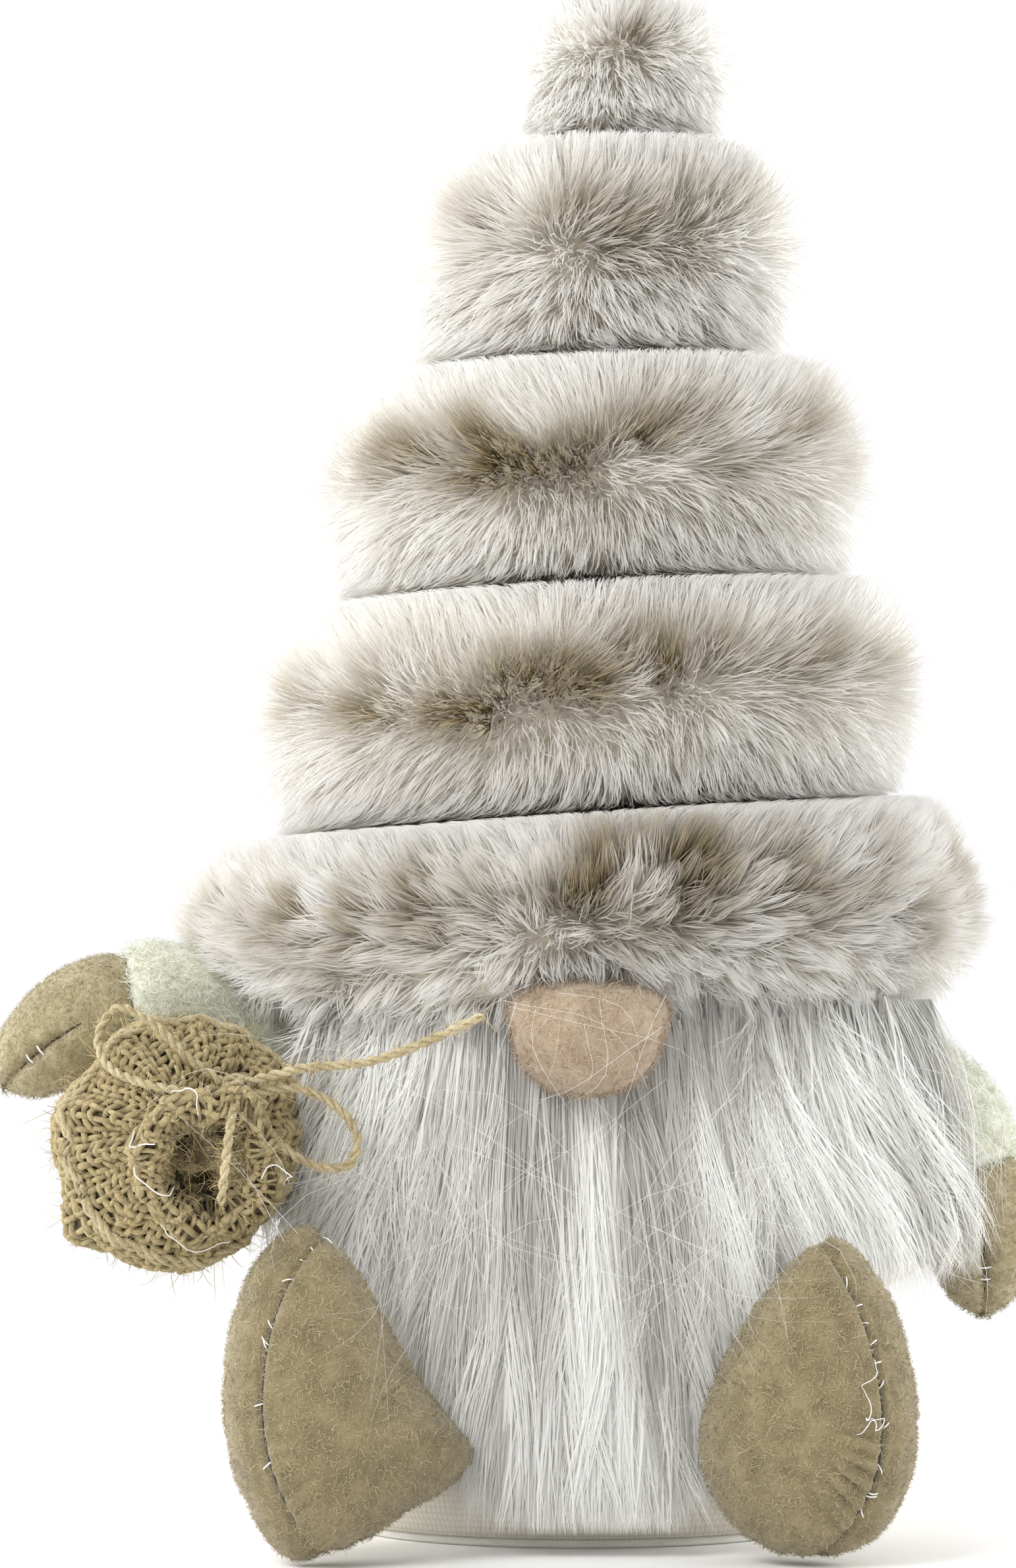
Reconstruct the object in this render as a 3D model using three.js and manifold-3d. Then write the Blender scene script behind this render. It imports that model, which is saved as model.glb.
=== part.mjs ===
// Sitting gnome with a stepped fur hat, a long beard and a small sack.
// Millimetres, +Z up. The front looks along -Y and the origin is the middle of the base.
import * as THREE from 'three';
import { mergeVertices } from 'three/addons/utils/BufferGeometryUtils.js';
import Module from 'manifold-3d';

const wasm = await Module();
wasm.setup();

// Fits and cloth
const gap = 0.3; // free space between sewn or stacked pieces
const feltWall = 2; // felt of the sleeves, mittens, legs and boots
const clothWall = 1.5; // woven cloth of the body, the beard's backing and the sack
const furWall = 11; // fur fabric with its pile
const sides = 18; // steps round a large turned piece
const smallSides = 12; // steps round a small turned piece
const brimSides = 26;
const tipSides = 16;
const noseSides = 14;
const coreSides = 10; // steps round the stuffing of a leg
const size = 400; // a block larger than any piece, for halving

// Body
const bodyBottomRadius = 53;
const bellyRadius = 60;
const bellyHeight = 48;
const chestRadius = 55;
const chestHeight = 112;
const bodyHeight = 150;
const flatness = 0.85; // front-to-back width over side-to-side width of the body and hat
const baseFelt = 2;
const baseCard = 1.8;
const pelletBagRadius = 45;
const pelletBagHeight = 22;
const pelletBagRound = 6; // height of the bag's rounded edges
const bellyOver = 1; // how far the body bulges above its belly

// Brim
const brimRadius = 86.8;
const brimLow = 114;
const brimWideHeight = 133;
const brimEase = 2.4; // how much wider than the chest the brim's opening is
const brimRoll = 8; // how far the rounded lower edge runs out from the opening
const brimHem = 8; // height of the wall round the opening
const crownWall = 3.5; // fur fabric at the hole of the first seam
const noseArch = 7; // how far the brim's edge lifts over the nose
const frontSag = 2.5;

// Tiers: each seam has a height, an offset to the right, a half width and a slope in degrees
const hatBase = 157.5;
const tierHeight = 50;
const seamHalfWidth = [62, 51, 37, 17.5];
const seamOffset = [1.2, 2.5, 3.5, 8];
const seamSlope = [4, 3, 2, 0];
const seams = seamHalfWidth.map((half, i) => (
  { x: seamOffset[i], z: hatBase + i * tierHeight, half, slope: seamSlope[i] }
));
const edgeShare = 0.9; // where the flat of a seam begins, as a share of its half width
const tierRadii = [71.6, 58.6, 40.4];
const tierTwist = [3.5, 5, 6]; // extra slope at the middle of each tier
const tipRadius = 22;
const tipHeight = 32;
const tipOffset = 3;
const tipFurWall = 8;
const neckRadius = 9; // stuffing that passes through each seam
const leanRange = 5; // how far each seam bends, in degrees
const leanClearance = 3; // extra angle, for the thread in each seam
const seamBand = 6; // height at each seam that keeps the seam's own slope
const threadRadius = 0.5;
const threadShare = 0.84; // where the thread lies, as a share of the seam's half width

// Beard and nose
const beardTop = 109;
const beardBottom = 8.5;
const hairDepth = 9;
const beardSpread = 86;
const backingHeight = 45;
const backingTurn = 1.5; // how far round the chest the backing reaches, in radians
const noseHalfWidth = 17.1;
const noseHalfDepth = 15;
const noseDown = 13;
const noseUp = 8.3;
const noseBelowBrim = 3;
const noseHeight = brimLow - noseBelowBrim;
const noseOpening = 5;

// Arms
const shoulderRadius = 8;
const shoulderHeight = 107;
const shoulderForward = 12;
const wristRadius = 12;
const mittenTipRadius = 6;
const mittenHalfDepth = 11;
const armBackSwing = 25; // degrees the left arm swings back
const armLift = 40; // degrees the right arm lifts to the side

// Legs and boots
const hipTurn = 35; // how far round from the front each leg is sewn, in degrees
const hipHeight = 20;
const legRadius = 9;
const bootHalfDepth = 15;
const bootTurn = 25; // how far each boot's sole edge turns to the front, in degrees
const bootForward = 70;
const bootClear = 0.4; // heel above the floor
const bootMeanRadius = 28;

// Sack and twine
const sackRadius = 26;
const sackNeckRadius = 8.5;
const sackMouthRadius = 14;
const mouthFolds = 5;
const sackSides = 20;
const twineRadius = 1;
const knotRadius = 3.4;
const stitchRadius = 0.8;
const neckBack = 11; // how far behind the mouth's edge the neck is tied

// Colours
const furColour = 0xe9e4dc;
const hairColour = 0xeeeff0;
const khakiFelt = 0xb3a27f;
const paleFelt = 0xd9dbc9;
const burlap = 0xb59a68;
const twine = 0xc2a976;
const stuffingColour = 0xf4f2ec;
const noseFelt = 0xc9ac8f;
const bodyCloth = 0x8f8d88;
const backingCloth = 0xdcd8d0;
const card = 0xa98d66;
const bagCloth = 0xd8d2c4;
const seamThread = 0x6f6455;
const whiteThread = 0xe9e6df;

const grooveSlope = Math.tan(THREE.MathUtils.degToRad((leanRange + leanClearance) / 2));
const plug = neckRadius - gap; // stuffing in the hole at each seam
const plugRise = plug * grooveSlope + gap / 2;
const group = new THREE.Group();

// Geometry helpers
function closed(geometry) {
  const bare = new THREE.BufferGeometry();
  bare.setAttribute('position', geometry.getAttribute('position').clone());
  if (geometry.index) bare.setIndex(geometry.index.clone());
  const merged = mergeVertices(bare, 1e-4);
  const faces = [];
  const index = merged.index.array;
  for (let i = 0; i < index.length; i += 3) {
    const [a, b, c] = [index[i], index[i + 1], index[i + 2]];
    if (a !== b && b !== c && a !== c) faces.push(a, b, c);
  }
  merged.setIndex(faces);
  return volume(merged) < 0 ? flipped(merged) : merged;
}

function volume(geometry) {
  const position = geometry.getAttribute('position');
  const index = geometry.index.array;
  const [a, b, c] = [new THREE.Vector3(), new THREE.Vector3(), new THREE.Vector3()];
  let sum = 0;
  for (let i = 0; i < index.length; i += 3) {
    a.fromBufferAttribute(position, index[i]);
    b.fromBufferAttribute(position, index[i + 1]);
    c.fromBufferAttribute(position, index[i + 2]);
    sum += a.dot(b.cross(c)) / 6;
  }
  return sum;
}

function flipped(geometry) {
  const index = Array.from(geometry.index.array);
  for (let i = 0; i < index.length; i += 3) {
    [index[i], index[i + 1]] = [index[i + 1], index[i]];
  }
  geometry.setIndex(index);
  return geometry;
}

// Moves every point of a geometry by a function of the point
function warp(geometry, move) {
  const position = geometry.getAttribute('position');
  const point = new THREE.Vector3();
  for (let i = 0; i < position.count; i += 1) {
    point.fromBufferAttribute(position, i);
    const moved = move(point);
    position.setXYZ(i, moved.x, moved.y, moved.z);
  }
  return geometry;
}

// Turns a profile of [radius, height] points round the Z axis
function turned(profile, steps) {
  const points = profile.map(([r, h]) => new THREE.Vector2(Math.max(r, 0), h));
  const lathe = new THREE.LatheGeometry(points, steps);
  lathe.rotateX(Math.PI / 2);
  return lathe;
}

// Rounds a few profile points into a smooth outline of the given number of steps
function smooth(points, steps) {
  const curve = new THREE.SplineCurve(points.map(([r, h]) => new THREE.Vector2(r, h)));
  return curve.getSpacedPoints(steps).map((p) => [Math.max(p.x, 0), p.y]);
}

// Moves an outline that runs upwards inwards by a distance, along its normals
function inset(profile, distance) {
  return profile.map(([r, h], i) => {
    const [r0, h0] = profile[Math.max(i - 1, 0)];
    const [r1, h1] = profile[Math.min(i + 1, profile.length - 1)];
    const length = Math.hypot(r1 - r0, h1 - h0);
    const inner = r - (distance * (h1 - h0)) / length;
    return [r < 1e-6 ? 0 : Math.max(inner, 0), h + (distance * (r1 - r0)) / length];
  });
}

function add(name, geometry, colour, roughness = 0.95) {
  const material = new THREE.MeshStandardMaterial({ color: colour, roughness, metalness: 0 });
  const mesh = new THREE.Mesh(closed(geometry), material);
  mesh.name = name;
  group.add(mesh);
  return mesh;
}

function solid(geometry) {
  const merged = closed(geometry);
  return new wasm.Manifold(new wasm.Mesh({
    numProp: 3,
    vertProperties: Float32Array.from(merged.getAttribute('position').array),
    triVerts: Uint32Array.from(merged.index.array),
  }));
}

function fromSolid(manifold) {
  const mesh = manifold.getMesh();
  const geometry = new THREE.BufferGeometry();
  geometry.setAttribute('position', new THREE.BufferAttribute(mesh.vertProperties, 3));
  geometry.setIndex(Array.from(mesh.triVerts));
  return geometry;
}

const cut = (geometry, ...tools) =>
  fromSolid(tools.reduce((body, tool) => body.subtract(solid(tool)), solid(geometry)));

const flatten = (ratio) => (p) => p.set(p.x, p.y * ratio, p.z);

// Body: base, weight, stuffing and cover
const bodyProfile = smooth([
  [bodyBottomRadius, baseFelt + gap],
  [(bodyBottomRadius + bellyRadius) / 2, bellyHeight * 0.22],
  [bellyRadius, bellyHeight],
  [(bellyRadius + chestRadius) / 2 + bellyOver, (bellyHeight + chestHeight) / 2],
  [chestRadius, chestHeight],
  [chestRadius * 0.88, bodyHeight - 18],
  [chestRadius * 0.5, bodyHeight - 4],
  [0, bodyHeight],
], 11);

function bodyRadiusAt(height) {
  const last = bodyProfile.length - 1;
  const next = bodyProfile.findIndex(([, h], i) => i === last || h >= height);
  const [r1, h1] = bodyProfile[Math.max(next, 1)];
  const [r0, h0] = bodyProfile[Math.max(next, 1) - 1];
  return r0 + ((r1 - r0) * (height - h0)) / (h1 - h0);
}

function buildBody() {
  const cardTop = baseFelt + gap + baseCard;
  const cardRadius = bodyBottomRadius - clothWall - gap;
  const bagBottom = cardTop + gap;
  const bagTop = bagBottom + pelletBagHeight;
  const disc = (radius, low, high) => turned([[0, low], [radius, low], [radius, high], [0, high]], sides);
  const bagUpper = [
    [pelletBagRadius * 0.95, bagTop - pelletBagRound], [pelletBagRadius * 0.6, bagTop - 1], [0, bagTop],
  ];
  const bag = [
    [0, bagBottom], [pelletBagRadius * 0.86, bagBottom],
    [pelletBagRadius, bagBottom + pelletBagRound], ...bagUpper,
  ];
  const lining = inset(bodyProfile, clothWall);
  const filling = inset(bodyProfile, clothWall + gap).filter(([, h]) => h > bagBottom + baseFelt);
  const oval = flatten(flatness);
  add('base_felt', warp(disc(bodyBottomRadius, 0, baseFelt), oval), khakiFelt);
  add('base_card', warp(disc(cardRadius, baseFelt + gap, cardTop), oval), card);
  add('pellet_bag', warp(turned(bag, sides), oval), bagCloth);
  add('body_stuffing', warp(turned([
    [0, bagTop + gap], [pelletBagRadius * 0.6, bagTop - 1 + gap],
    [pelletBagRadius, bagTop - pelletBagRound + gap],
    [pelletBagRadius + 2 * gap, bagBottom + baseFelt], ...filling,
  ], sides), oval), stuffingColour);
  const rim = [bodyBottomRadius - clothWall, baseFelt + gap];
  add('body_cover', warp(turned([...bodyProfile, ...lining.slice(1).reverse(), rim, bodyProfile[0]],
    sides), oval), bodyCloth);
}

// Hat: a brim on the head, then tiers that each stand on the seam below
function seatOf(low, high, twist) {
  const span = high.z - low.z;
  return (p) => {
    const t = THREE.MathUtils.clamp((p.z - seamBand) / (span - 2 * seamBand), 0, 1);
    const slope = low.slope + (high.slope - low.slope) * t + twist * Math.sin(Math.PI * t) ** 2;
    const angle = THREE.MathUtils.degToRad(slope);
    const x = low.x + (high.x - low.x) * t + p.x * Math.cos(angle);
    return p.set(x, p.y * flatness, low.z + p.z + p.x * Math.sin(angle));
  };
}

// The outline of a tier from the edge of its lower hole to the edge of its upper one
function tierOutline(low, wide, top, height) {
  const bottomEdge = low * edgeShare;
  const topEdge = top * edgeShare;
  return [
    [neckRadius, neckRadius * grooveSlope],
    ...smooth([
      [bottomEdge, bottomEdge * grooveSlope + gap],
      [low + (wide - low) * 0.6, height * 0.13],
      [wide, height * 0.36],
      [wide * 0.965, height * 0.6],
      [top + (wide - top) * 0.62, height * 0.8],
      [top + (wide - top) * 0.16, height * 0.94],
      [topEdge, height - topEdge * grooveSlope - gap],
    ], 7),
    [neckRadius, height - neckRadius * grooveSlope],
  ];
}

// Draws an outline in towards the middle of the piece by a wall on every side
function drawnIn(outline, wall, wide, height) {
  const across = (wide - wall - neckRadius) / (wide - neckRadius);
  const along = (height - 2 * wall) / height;
  return outline.map(([r, h]) => [
    neckRadius + (r - neckRadius) * across, height / 2 + (h - height / 2) * along,
  ]);
}

function buildTier(name, low, high, wide, twist) {
  const height = high.z - low.z;
  const outline = tierOutline(low.half, wide, high.half, height);
  const lining = drawnIn(outline, furWall, wide, height);
  const filling = drawnIn(outline, furWall + gap, wide, height);
  const seat = seatOf(low, high, twist);
  add(`${name}_fur`, warp(turned([...outline, ...lining.slice().reverse(), outline[0]], sides), seat),
    furColour);
  add(`${name}_stuffing`, warp(turned([
    [0, gap / 2], [plug, plugRise], [plug, filling[0][1]], ...filling.slice(1, -1),
    [plug, filling[filling.length - 1][1]], [plug, height - plugRise], [0, height - gap / 2],
  ], sides), seat), stuffingColour);
}

function buildSeamThread(index) {
  const seam = seams[index];
  const ring = seam.half * threadShare;
  const drop = ring * grooveSlope - gap - threadRadius;
  const angle = THREE.MathUtils.degToRad(seam.slope);
  const thread = new THREE.TorusGeometry(ring, threadRadius, 5, sides);
  add(`seam_thread_${index + 1}`, warp(thread, (p) => {
    const z = seam.z - drop + p.z + p.x * Math.sin(angle);
    return p.set(seam.x + p.x * Math.cos(angle), p.y * flatness, z);
  }), seamThread, 0.8);
}

// The nose as a ball squashed by the brim above it; the opening is at the back
const nosePlace = new THREE.Vector3(
  0, -(flatness * (bodyRadiusAt(noseHeight) + gap + clothWall) + gap + noseHalfDepth), noseHeight,
);

function noseShape(profile, steps) {
  return warp(turned(profile, steps), (p) => {
    const across = p.x * (noseHalfWidth / noseHalfDepth);
    const upright = p.y * ((p.y > 0 ? noseUp : noseDown) / noseHalfDepth);
    return p.set(across, -p.z, upright).add(nosePlace);
  });
}

function ballProfile(radius, levels, opening = 0) {
  const start = Math.asin(opening / radius);
  return Array.from({ length: levels + 1 }, (_, i) => {
    const angle = start + ((Math.PI - start) * i) / levels;
    return [i === levels ? 0 : radius * Math.sin(angle), -radius * Math.cos(angle)];
  });
}

function buildNose() {
  const cover = ballProfile(noseHalfDepth, 7, noseOpening);
  const lining = ballProfile(noseHalfDepth - feltWall, 6, noseOpening);
  const shell = [...cover, ...lining.slice(0, -1).reverse(), cover[0]];
  add('nose_felt', noseShape(shell, noseSides), noseFelt);
  const filling = ballProfile(noseHalfDepth - feltWall - 2 * gap, 6);
  add('nose_filling', noseShape(filling, noseSides), stuffingColour);
}

function buildBrim() {
  const top = seams[0];
  const headFit = chestRadius + brimEase;
  const edge = top.half * edgeShare;
  const topHole = top.z - neckRadius * grooveSlope;
  const outline = [
    ...smooth([
      [headFit, brimLow + 2], [headFit + brimRoll, brimLow - 0.5], [headFit + 2 * brimRoll, brimLow + 1.5],
      [brimRadius * 0.93, brimLow + brimHem], [brimRadius, brimWideHeight],
      [brimRadius * 0.96, brimWideHeight + furWall], [brimRadius * 0.86, top.z - seamBand],
      [edge + brimRoll, top.z - edge * grooveSlope - 5 * gap], [edge, top.z - edge * grooveSlope - gap],
    ], 10),
    [neckRadius, topHole],
  ];
  const lining = [
    [neckRadius, topHole - crownWall], [edge * 0.9, top.z - furWall + 1],
    [brimRadius - furWall - 5, brimWideHeight + 7], [brimRadius - furWall, brimWideHeight - 1],
    [brimRadius - furWall - 7, brimLow + brimHem + 1], [headFit, brimLow + brimHem],
  ];
  const padding = lining.slice(1, -1).map(([r, h]) => [
    r - 4 * gap, h > brimWideHeight ? h - 3 * gap : h + 3 * gap,
  ]);
  const seat = (p) => {
    const t = THREE.MathUtils.clamp((p.z - brimLow) / (top.z - seamBand - brimLow), 0, 1);
    const radius = Math.hypot(p.x, p.y);
    const front = radius > 1 ? Math.max(-p.y / radius, 0) : 0;
    const outer = THREE.MathUtils.smoothstep(radius, chestRadius + 1, brimRadius);
    const nearNose = Math.exp(-((p.x / noseHalfWidth) ** 2)) * front;
    const lift = (noseArch * nearNose - frontSag * front * (1 - nearNose)) * outer * (1 - t);
    const slope = THREE.MathUtils.degToRad(top.slope * t ** 2);
    const x = top.x * t ** 2 + p.x * Math.cos(slope);
    return p.set(x, p.y * flatness, p.z + lift + p.x * Math.sin(slope));
  };
  const nose = noseShape(ballProfile(noseHalfDepth + 3 * gap, 8), 18);
  const head = [[0, brimLow], ...inset(bodyProfile, -gap).filter(([, h]) => h > brimLow)];
  const headSolid = warp(turned(head, sides), flatten(flatness));
  const shell = warp(turned([...outline, ...lining, outline[0]], brimSides), seat);
  add('hat_brim_fur', cut(shell, nose, ...armGrooves()), furColour);
  const floor = brimLow + brimHem + 2 * gap;
  const core = warp(turned([
    [0, floor], [headFit, floor], ...padding.reverse(),
    [plug, topHole - crownWall - gap], [plug, top.z - plugRise], [0, top.z - gap / 2],
  ], brimSides), seat);
  add('brim_padding', cut(core, headSolid, nose), stuffingColour);
}

function buildTip() {
  const low = seams[seams.length - 1];
  const top = { ...low, x: low.x + tipOffset, z: low.z + tipHeight };
  const bottomEdge = low.half * edgeShare;
  const outline = [[neckRadius, neckRadius * grooveSlope], ...smooth([
    [bottomEdge, bottomEdge * grooveSlope + 3 * gap], [low.half + 2, tipHeight * 0.14],
    [tipRadius, tipHeight * 0.48], [tipRadius * 0.82, tipHeight * 0.8], [0, tipHeight],
  ], 7)];
  const across = (tipRadius - tipFurWall) / tipRadius;
  const fill = (tipRadius - tipFurWall - gap) / tipRadius;
  const drawn = (ratio, wall) => outline.slice(1, -1).map(([r, h]) => [
    Math.max(r * ratio, neckRadius), wall + (h * (tipHeight - 2 * wall)) / tipHeight,
  ]);
  const lining = [
    [neckRadius, tipFurWall], ...drawn(across, tipFurWall).slice(1), [0, tipHeight - tipFurWall],
  ];
  const seat = seatOf(low, top, 0);
  add('hat_tip_fur', warp(turned([...outline, ...lining.reverse(), outline[0]], tipSides), seat), furColour);
  add('hat_tip_stuffing', warp(turned([
    [0, gap / 2], [plug, plugRise], [plug, tipFurWall + gap],
    ...drawn(fill, tipFurWall + gap).slice(1), [0, tipHeight - tipFurWall - gap],
  ], tipSides), seat), stuffingColour);
}

// A height-to-width rule: reads a value between named levels, straight from one to the next
function between(levels, height) {
  const last = levels.length - 1;
  const next = Math.max(levels.findIndex(([h], i) => i === last || height <= h), 1);
  const [h0, v0] = levels[next - 1];
  const [h1, v1] = levels[next];
  return THREE.MathUtils.lerp(v0, v1, THREE.MathUtils.clamp((height - h0) / (h1 - h0), 0, 1));
}

// Beard: the half widths of the hair at each height, left and right of the middle
const beardLeft = [[beardBottom, 21], [33, 21], [40, 31], [47, 43], [60, 56], [85, 57], [beardTop, 55]];
const beardRight = [[beardBottom, 24], [34, 24], [41, 33], [48, 46], [60, 68], [85, 66], [beardTop, 60]];

function buildBeard() {
  const bodyFront = (z) => (z < bellyHeight ? bellyRadius : bodyRadiusAt(z));
  const hair = warp(new THREE.BoxGeometry(1, 1, 1, 12, 1, 11), (p) => {
    const z = THREE.MathUtils.lerp(beardBottom, beardTop, p.z + 0.5);
    const x = THREE.MathUtils.lerp(-between(beardLeft, z), between(beardRight, z), p.x + 0.5);
    const front = flatness * (bodyFront(z) + clothWall + 2 * gap) + hairDepth;
    const depth = hairDepth * (1 - 0.6 * Math.abs(2 * p.x) ** 4);
    const face = -front * Math.sqrt(1 - (x / beardSpread) ** 2);
    return p.set(x, face + (p.y + 0.5) * depth, z);
  });
  const backing = warp(new THREE.BoxGeometry(1, 1, 1, 10, 1, 4), (p) => {
    const z = THREE.MathUtils.lerp(beardTop - backingHeight, beardTop + frontSag, p.z + 0.5);
    const radius = bodyRadiusAt(z) + gap + (0.5 - p.y) * clothWall;
    const turn = p.x * backingTurn;
    return p.set(radius * Math.sin(turn), -flatness * radius * Math.cos(turn), z);
  });
  add('beard_backing', backing, backingCloth);
  add('beard_hair', cut(hair, noseShape(ballProfile(noseHalfDepth + 3 * gap, 8), 18)), hairColour, 0.7);
}

// Bends a piece that runs up the Z axis so that it follows a curve; y stays near the world's Y
function bent(geometry, curve) {
  const length = curve.getLength();
  return warp(geometry, (p) => {
    const [across, deep, along] = [p.x, p.y, p.z];
    const t = THREE.MathUtils.clamp(along / length, 0, 1);
    const tangent = curve.getTangentAt(t);
    const side = new THREE.Vector3(0, 1, 0).cross(tangent).normalize();
    const depth = new THREE.Vector3().crossVectors(tangent, side);
    return p.copy(curve.getPointAt(t)).addScaledVector(tangent, along - t * length)
      .addScaledVector(side, across).addScaledVector(depth, deep);
  });
}

const path = (...points) => new THREE.CatmullRomCurve3(points.map((p) => new THREE.Vector3(...p)));

// Arms: a sleeve that narrows to its sewn end, and a mitten of two panels
function shoulderSide() {
  const radius = bodyRadiusAt(shoulderHeight);
  const turn = shoulderForward / (radius * flatness);
  return radius * Math.sqrt(1 - turn ** 2) + shoulderRadius + 2 * gap;
}

const shoulder = (side) => [side * shoulderSide(), -shoulderForward, shoulderHeight];
const armLeft = {
  name: 'left',
  side: -1,
  wristShare: 0.55,
  line: path(
    shoulder(-1), [-75, -13, 111.5], [-88, -15, 115.5], [-99, -16, 115], [-107, -16.7, 112.5],
    [-114, -17.5, 108.5], [-121, -18.3, 103], [-127, -19, 97],
  ),
};
const armRight = {
  name: 'right',
  side: 1,
  wristShare: 0.53,
  line: path(
    shoulder(1), [70.5, -12.5, 101.5], [79, -13, 92], [84, -14, 79.5], [86.3, -14.4, 71],
    [87.6, -15, 62], [88, -15.4, 54], [88, -16, 47],
  ),
};

function sleeveProfile(length) {
  const dome = [30, 60, 90].map((degrees) => {
    const angle = THREE.MathUtils.degToRad(degrees);
    return [shoulderRadius * Math.sin(angle), -shoulderRadius * Math.cos(angle)];
  });
  return [
    [0, -shoulderRadius], ...dome, [(shoulderRadius + wristRadius) / 2, length * 0.38],
    [wristRadius, length * 0.72], [wristRadius, length],
  ];
}

function mittenProfile(length) {
  return smooth([
    [wristRadius, 0], [wristRadius + 0.4, length * 0.28], [wristRadius * 0.88, length * 0.58],
    [mittenTipRadius, length * 0.88], [0, length],
  ], 6);
}

// One side of a shell, cut along the plane through its length
function halved(geometry, side) {
  const block = new THREE.BoxGeometry(size, size, size);
  block.translate(side * (gap - size) / 2, 0, 0);
  return cut(geometry, block);
}

const sleeveLength = ({ line, wristShare }) => line.getLength() * wristShare;

// The space each sleeve sweeps as its arm moves, which the brim leaves free
function armGrooves() {
  const sweep = [
    [armLeft, new THREE.Vector3(0, 0, 1), -armBackSwing],
    [armRight, new THREE.Vector3(0, 1, 0), -armLift],
  ];
  const steps = 5;
  return sweep.flatMap(([arm, axis, range]) => Array.from({ length: steps }, (_, i) => {
    const length = sleeveLength(arm);
    const profile = [...inset(sleeveProfile(length), -2 * gap), [0, length]];
    const pivot = new THREE.Vector3(...shoulder(arm.side));
    const angle = THREE.MathUtils.degToRad((range * i) / (steps - 1));
    return warp(bent(turned(profile, smallSides), arm.line),
      (p) => p.sub(pivot).applyAxisAngle(axis, angle).add(pivot));
  }));
}

function buildArm(arm) {
  const { name, line } = arm;
  const wrist = sleeveLength(arm);
  const outer = sleeveProfile(wrist - gap / 2);
  const filling = [...inset(outer, feltWall + 1.5 * gap), [0, wrist - gap / 2]];
  const sleeve = turned([...outer, ...inset(outer, feltWall).reverse()], smallSides);
  add(`sleeve_${name}`, bent(sleeve, line), paleFelt);
  add(`sleeve_${name}_stuffing`, bent(turned(filling, smallSides), line), stuffingColour);
  const shape = mittenProfile(line.getLength() - wrist);
  const onHand = (p) => p.set(p.x, p.y * (mittenHalfDepth / wristRadius), p.z + wrist + gap / 2);
  const shell = () => {
    const profile = [...shape, ...inset(shape, feltWall).reverse()];
    return warp(turned([...profile, profile[0]], smallSides), onHand);
  };
  for (const [panel, side] of [['top', 1], ['palm', -1]]) {
    add(`mitten_${name}_${panel}_panel`, bent(halved(shell(), side), line), khakiFelt);
  }
  const core = [[0, 0], ...inset(shape, feltWall + 1.5 * gap)];
  add(`mitten_${name}_stuffing`, bent(warp(turned(core, smallSides), onHand), line), stuffingColour);
}

// Boots: two panels sewn round the edge, puffed out by stuffing
const bootLeft = {
  name: 'left',
  side: -1,
  middle: [-50, 34],
  outline: [
    [-57, 70], [-64, 61.5], [-67.5, 52], [-68.6, 40], [-68.3, 28], [-65.5, 14], [-60, 0.5], [-50, 2.5],
    [-39, 9.5], [-29, 16], [-25.5, 21.5], [-29, 27], [-36, 37], [-43, 50], [-50, 63],
  ],
};
const bootRight = {
  name: 'right',
  side: 1,
  middle: [46, 33],
  outline: [
    [50.5, 67.5], [57, 57], [60.5, 44], [61.8, 29], [60.5, 15], [56.5, 4], [48, -0.4],
    [37, 3.5], [29.5, 12], [26.5, 23], [28.5, 36], [34.5, 49], [42, 60.5],
  ],
};

function bootPlace({ side, middle, outline }) {
  const points = [...outline, outline[0]].map(([x, z]) => new THREE.Vector2(x, z + bootClear));
  const edge = new THREE.SplineCurve(points);
  const turn = THREE.MathUtils.degToRad(bootTurn);
  return (p) => {
    const reach = Math.hypot(p.x, p.y);
    const share = (Math.atan2(p.y, p.x) / (2 * Math.PI) + 1) % 1;
    const rim = edge.getPointAt(share);
    const x = middle[0] + (rim.x - middle[0]) * reach;
    const z = middle[1] + (rim.y - middle[1]) * reach;
    const along = (x - middle[0]) / Math.cos(turn);
    const thick = p.z;
    return p.set(
      middle[0] + along * Math.cos(turn) - side * thick * Math.sin(turn),
      -bootForward - side * along * Math.sin(turn) - thick * Math.cos(turn), z,
    );
  };
}

// Half of a cushion of unit radius: the outside and the lining of one panel
function panelProfile(direction) {
  const levels = [0, 26, 50, 70, 82];
  const outside = levels.map((degrees) => {
    const angle = THREE.MathUtils.degToRad(degrees);
    return [Math.sin(angle), direction * bootHalfDepth * Math.cos(angle)];
  });
  const shrink = 1 - feltWall / bootMeanRadius;
  const inside = levels.map((degrees) => {
    const angle = THREE.MathUtils.degToRad(degrees);
    return [shrink * Math.sin(angle), direction * (bootHalfDepth - feltWall) * Math.cos(angle)];
  });
  const rim = direction * gap / 2;
  return [...outside, [1, rim], [shrink, rim], ...inside.reverse()];
}

function cushionProfile(shrink, depth) {
  const levels = [0, 28, 54, 76, 104, 126, 152, 180];
  return levels.map((degrees) => {
    const angle = THREE.MathUtils.degToRad(degrees);
    return [degrees === 180 ? 0 : shrink * Math.sin(angle), -depth * Math.cos(angle)];
  });
}

// Where each leg meets the body: its round end sits just off the body's flat-sided wall
function hip(side) {
  const turn = THREE.MathUtils.degToRad(hipTurn);
  const radius = bodyRadiusAt(hipHeight) * Math.cos(Math.PI / sides);
  const [across, forward] = [side * Math.sin(turn), -Math.cos(turn)];
  const wall = new THREE.Vector3(radius * across, flatness * radius * forward, hipHeight);
  const out = new THREE.Vector3(across, forward / flatness, 0).normalize();
  return wall.addScaledVector(out, legRadius + 2 * gap);
}

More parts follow.
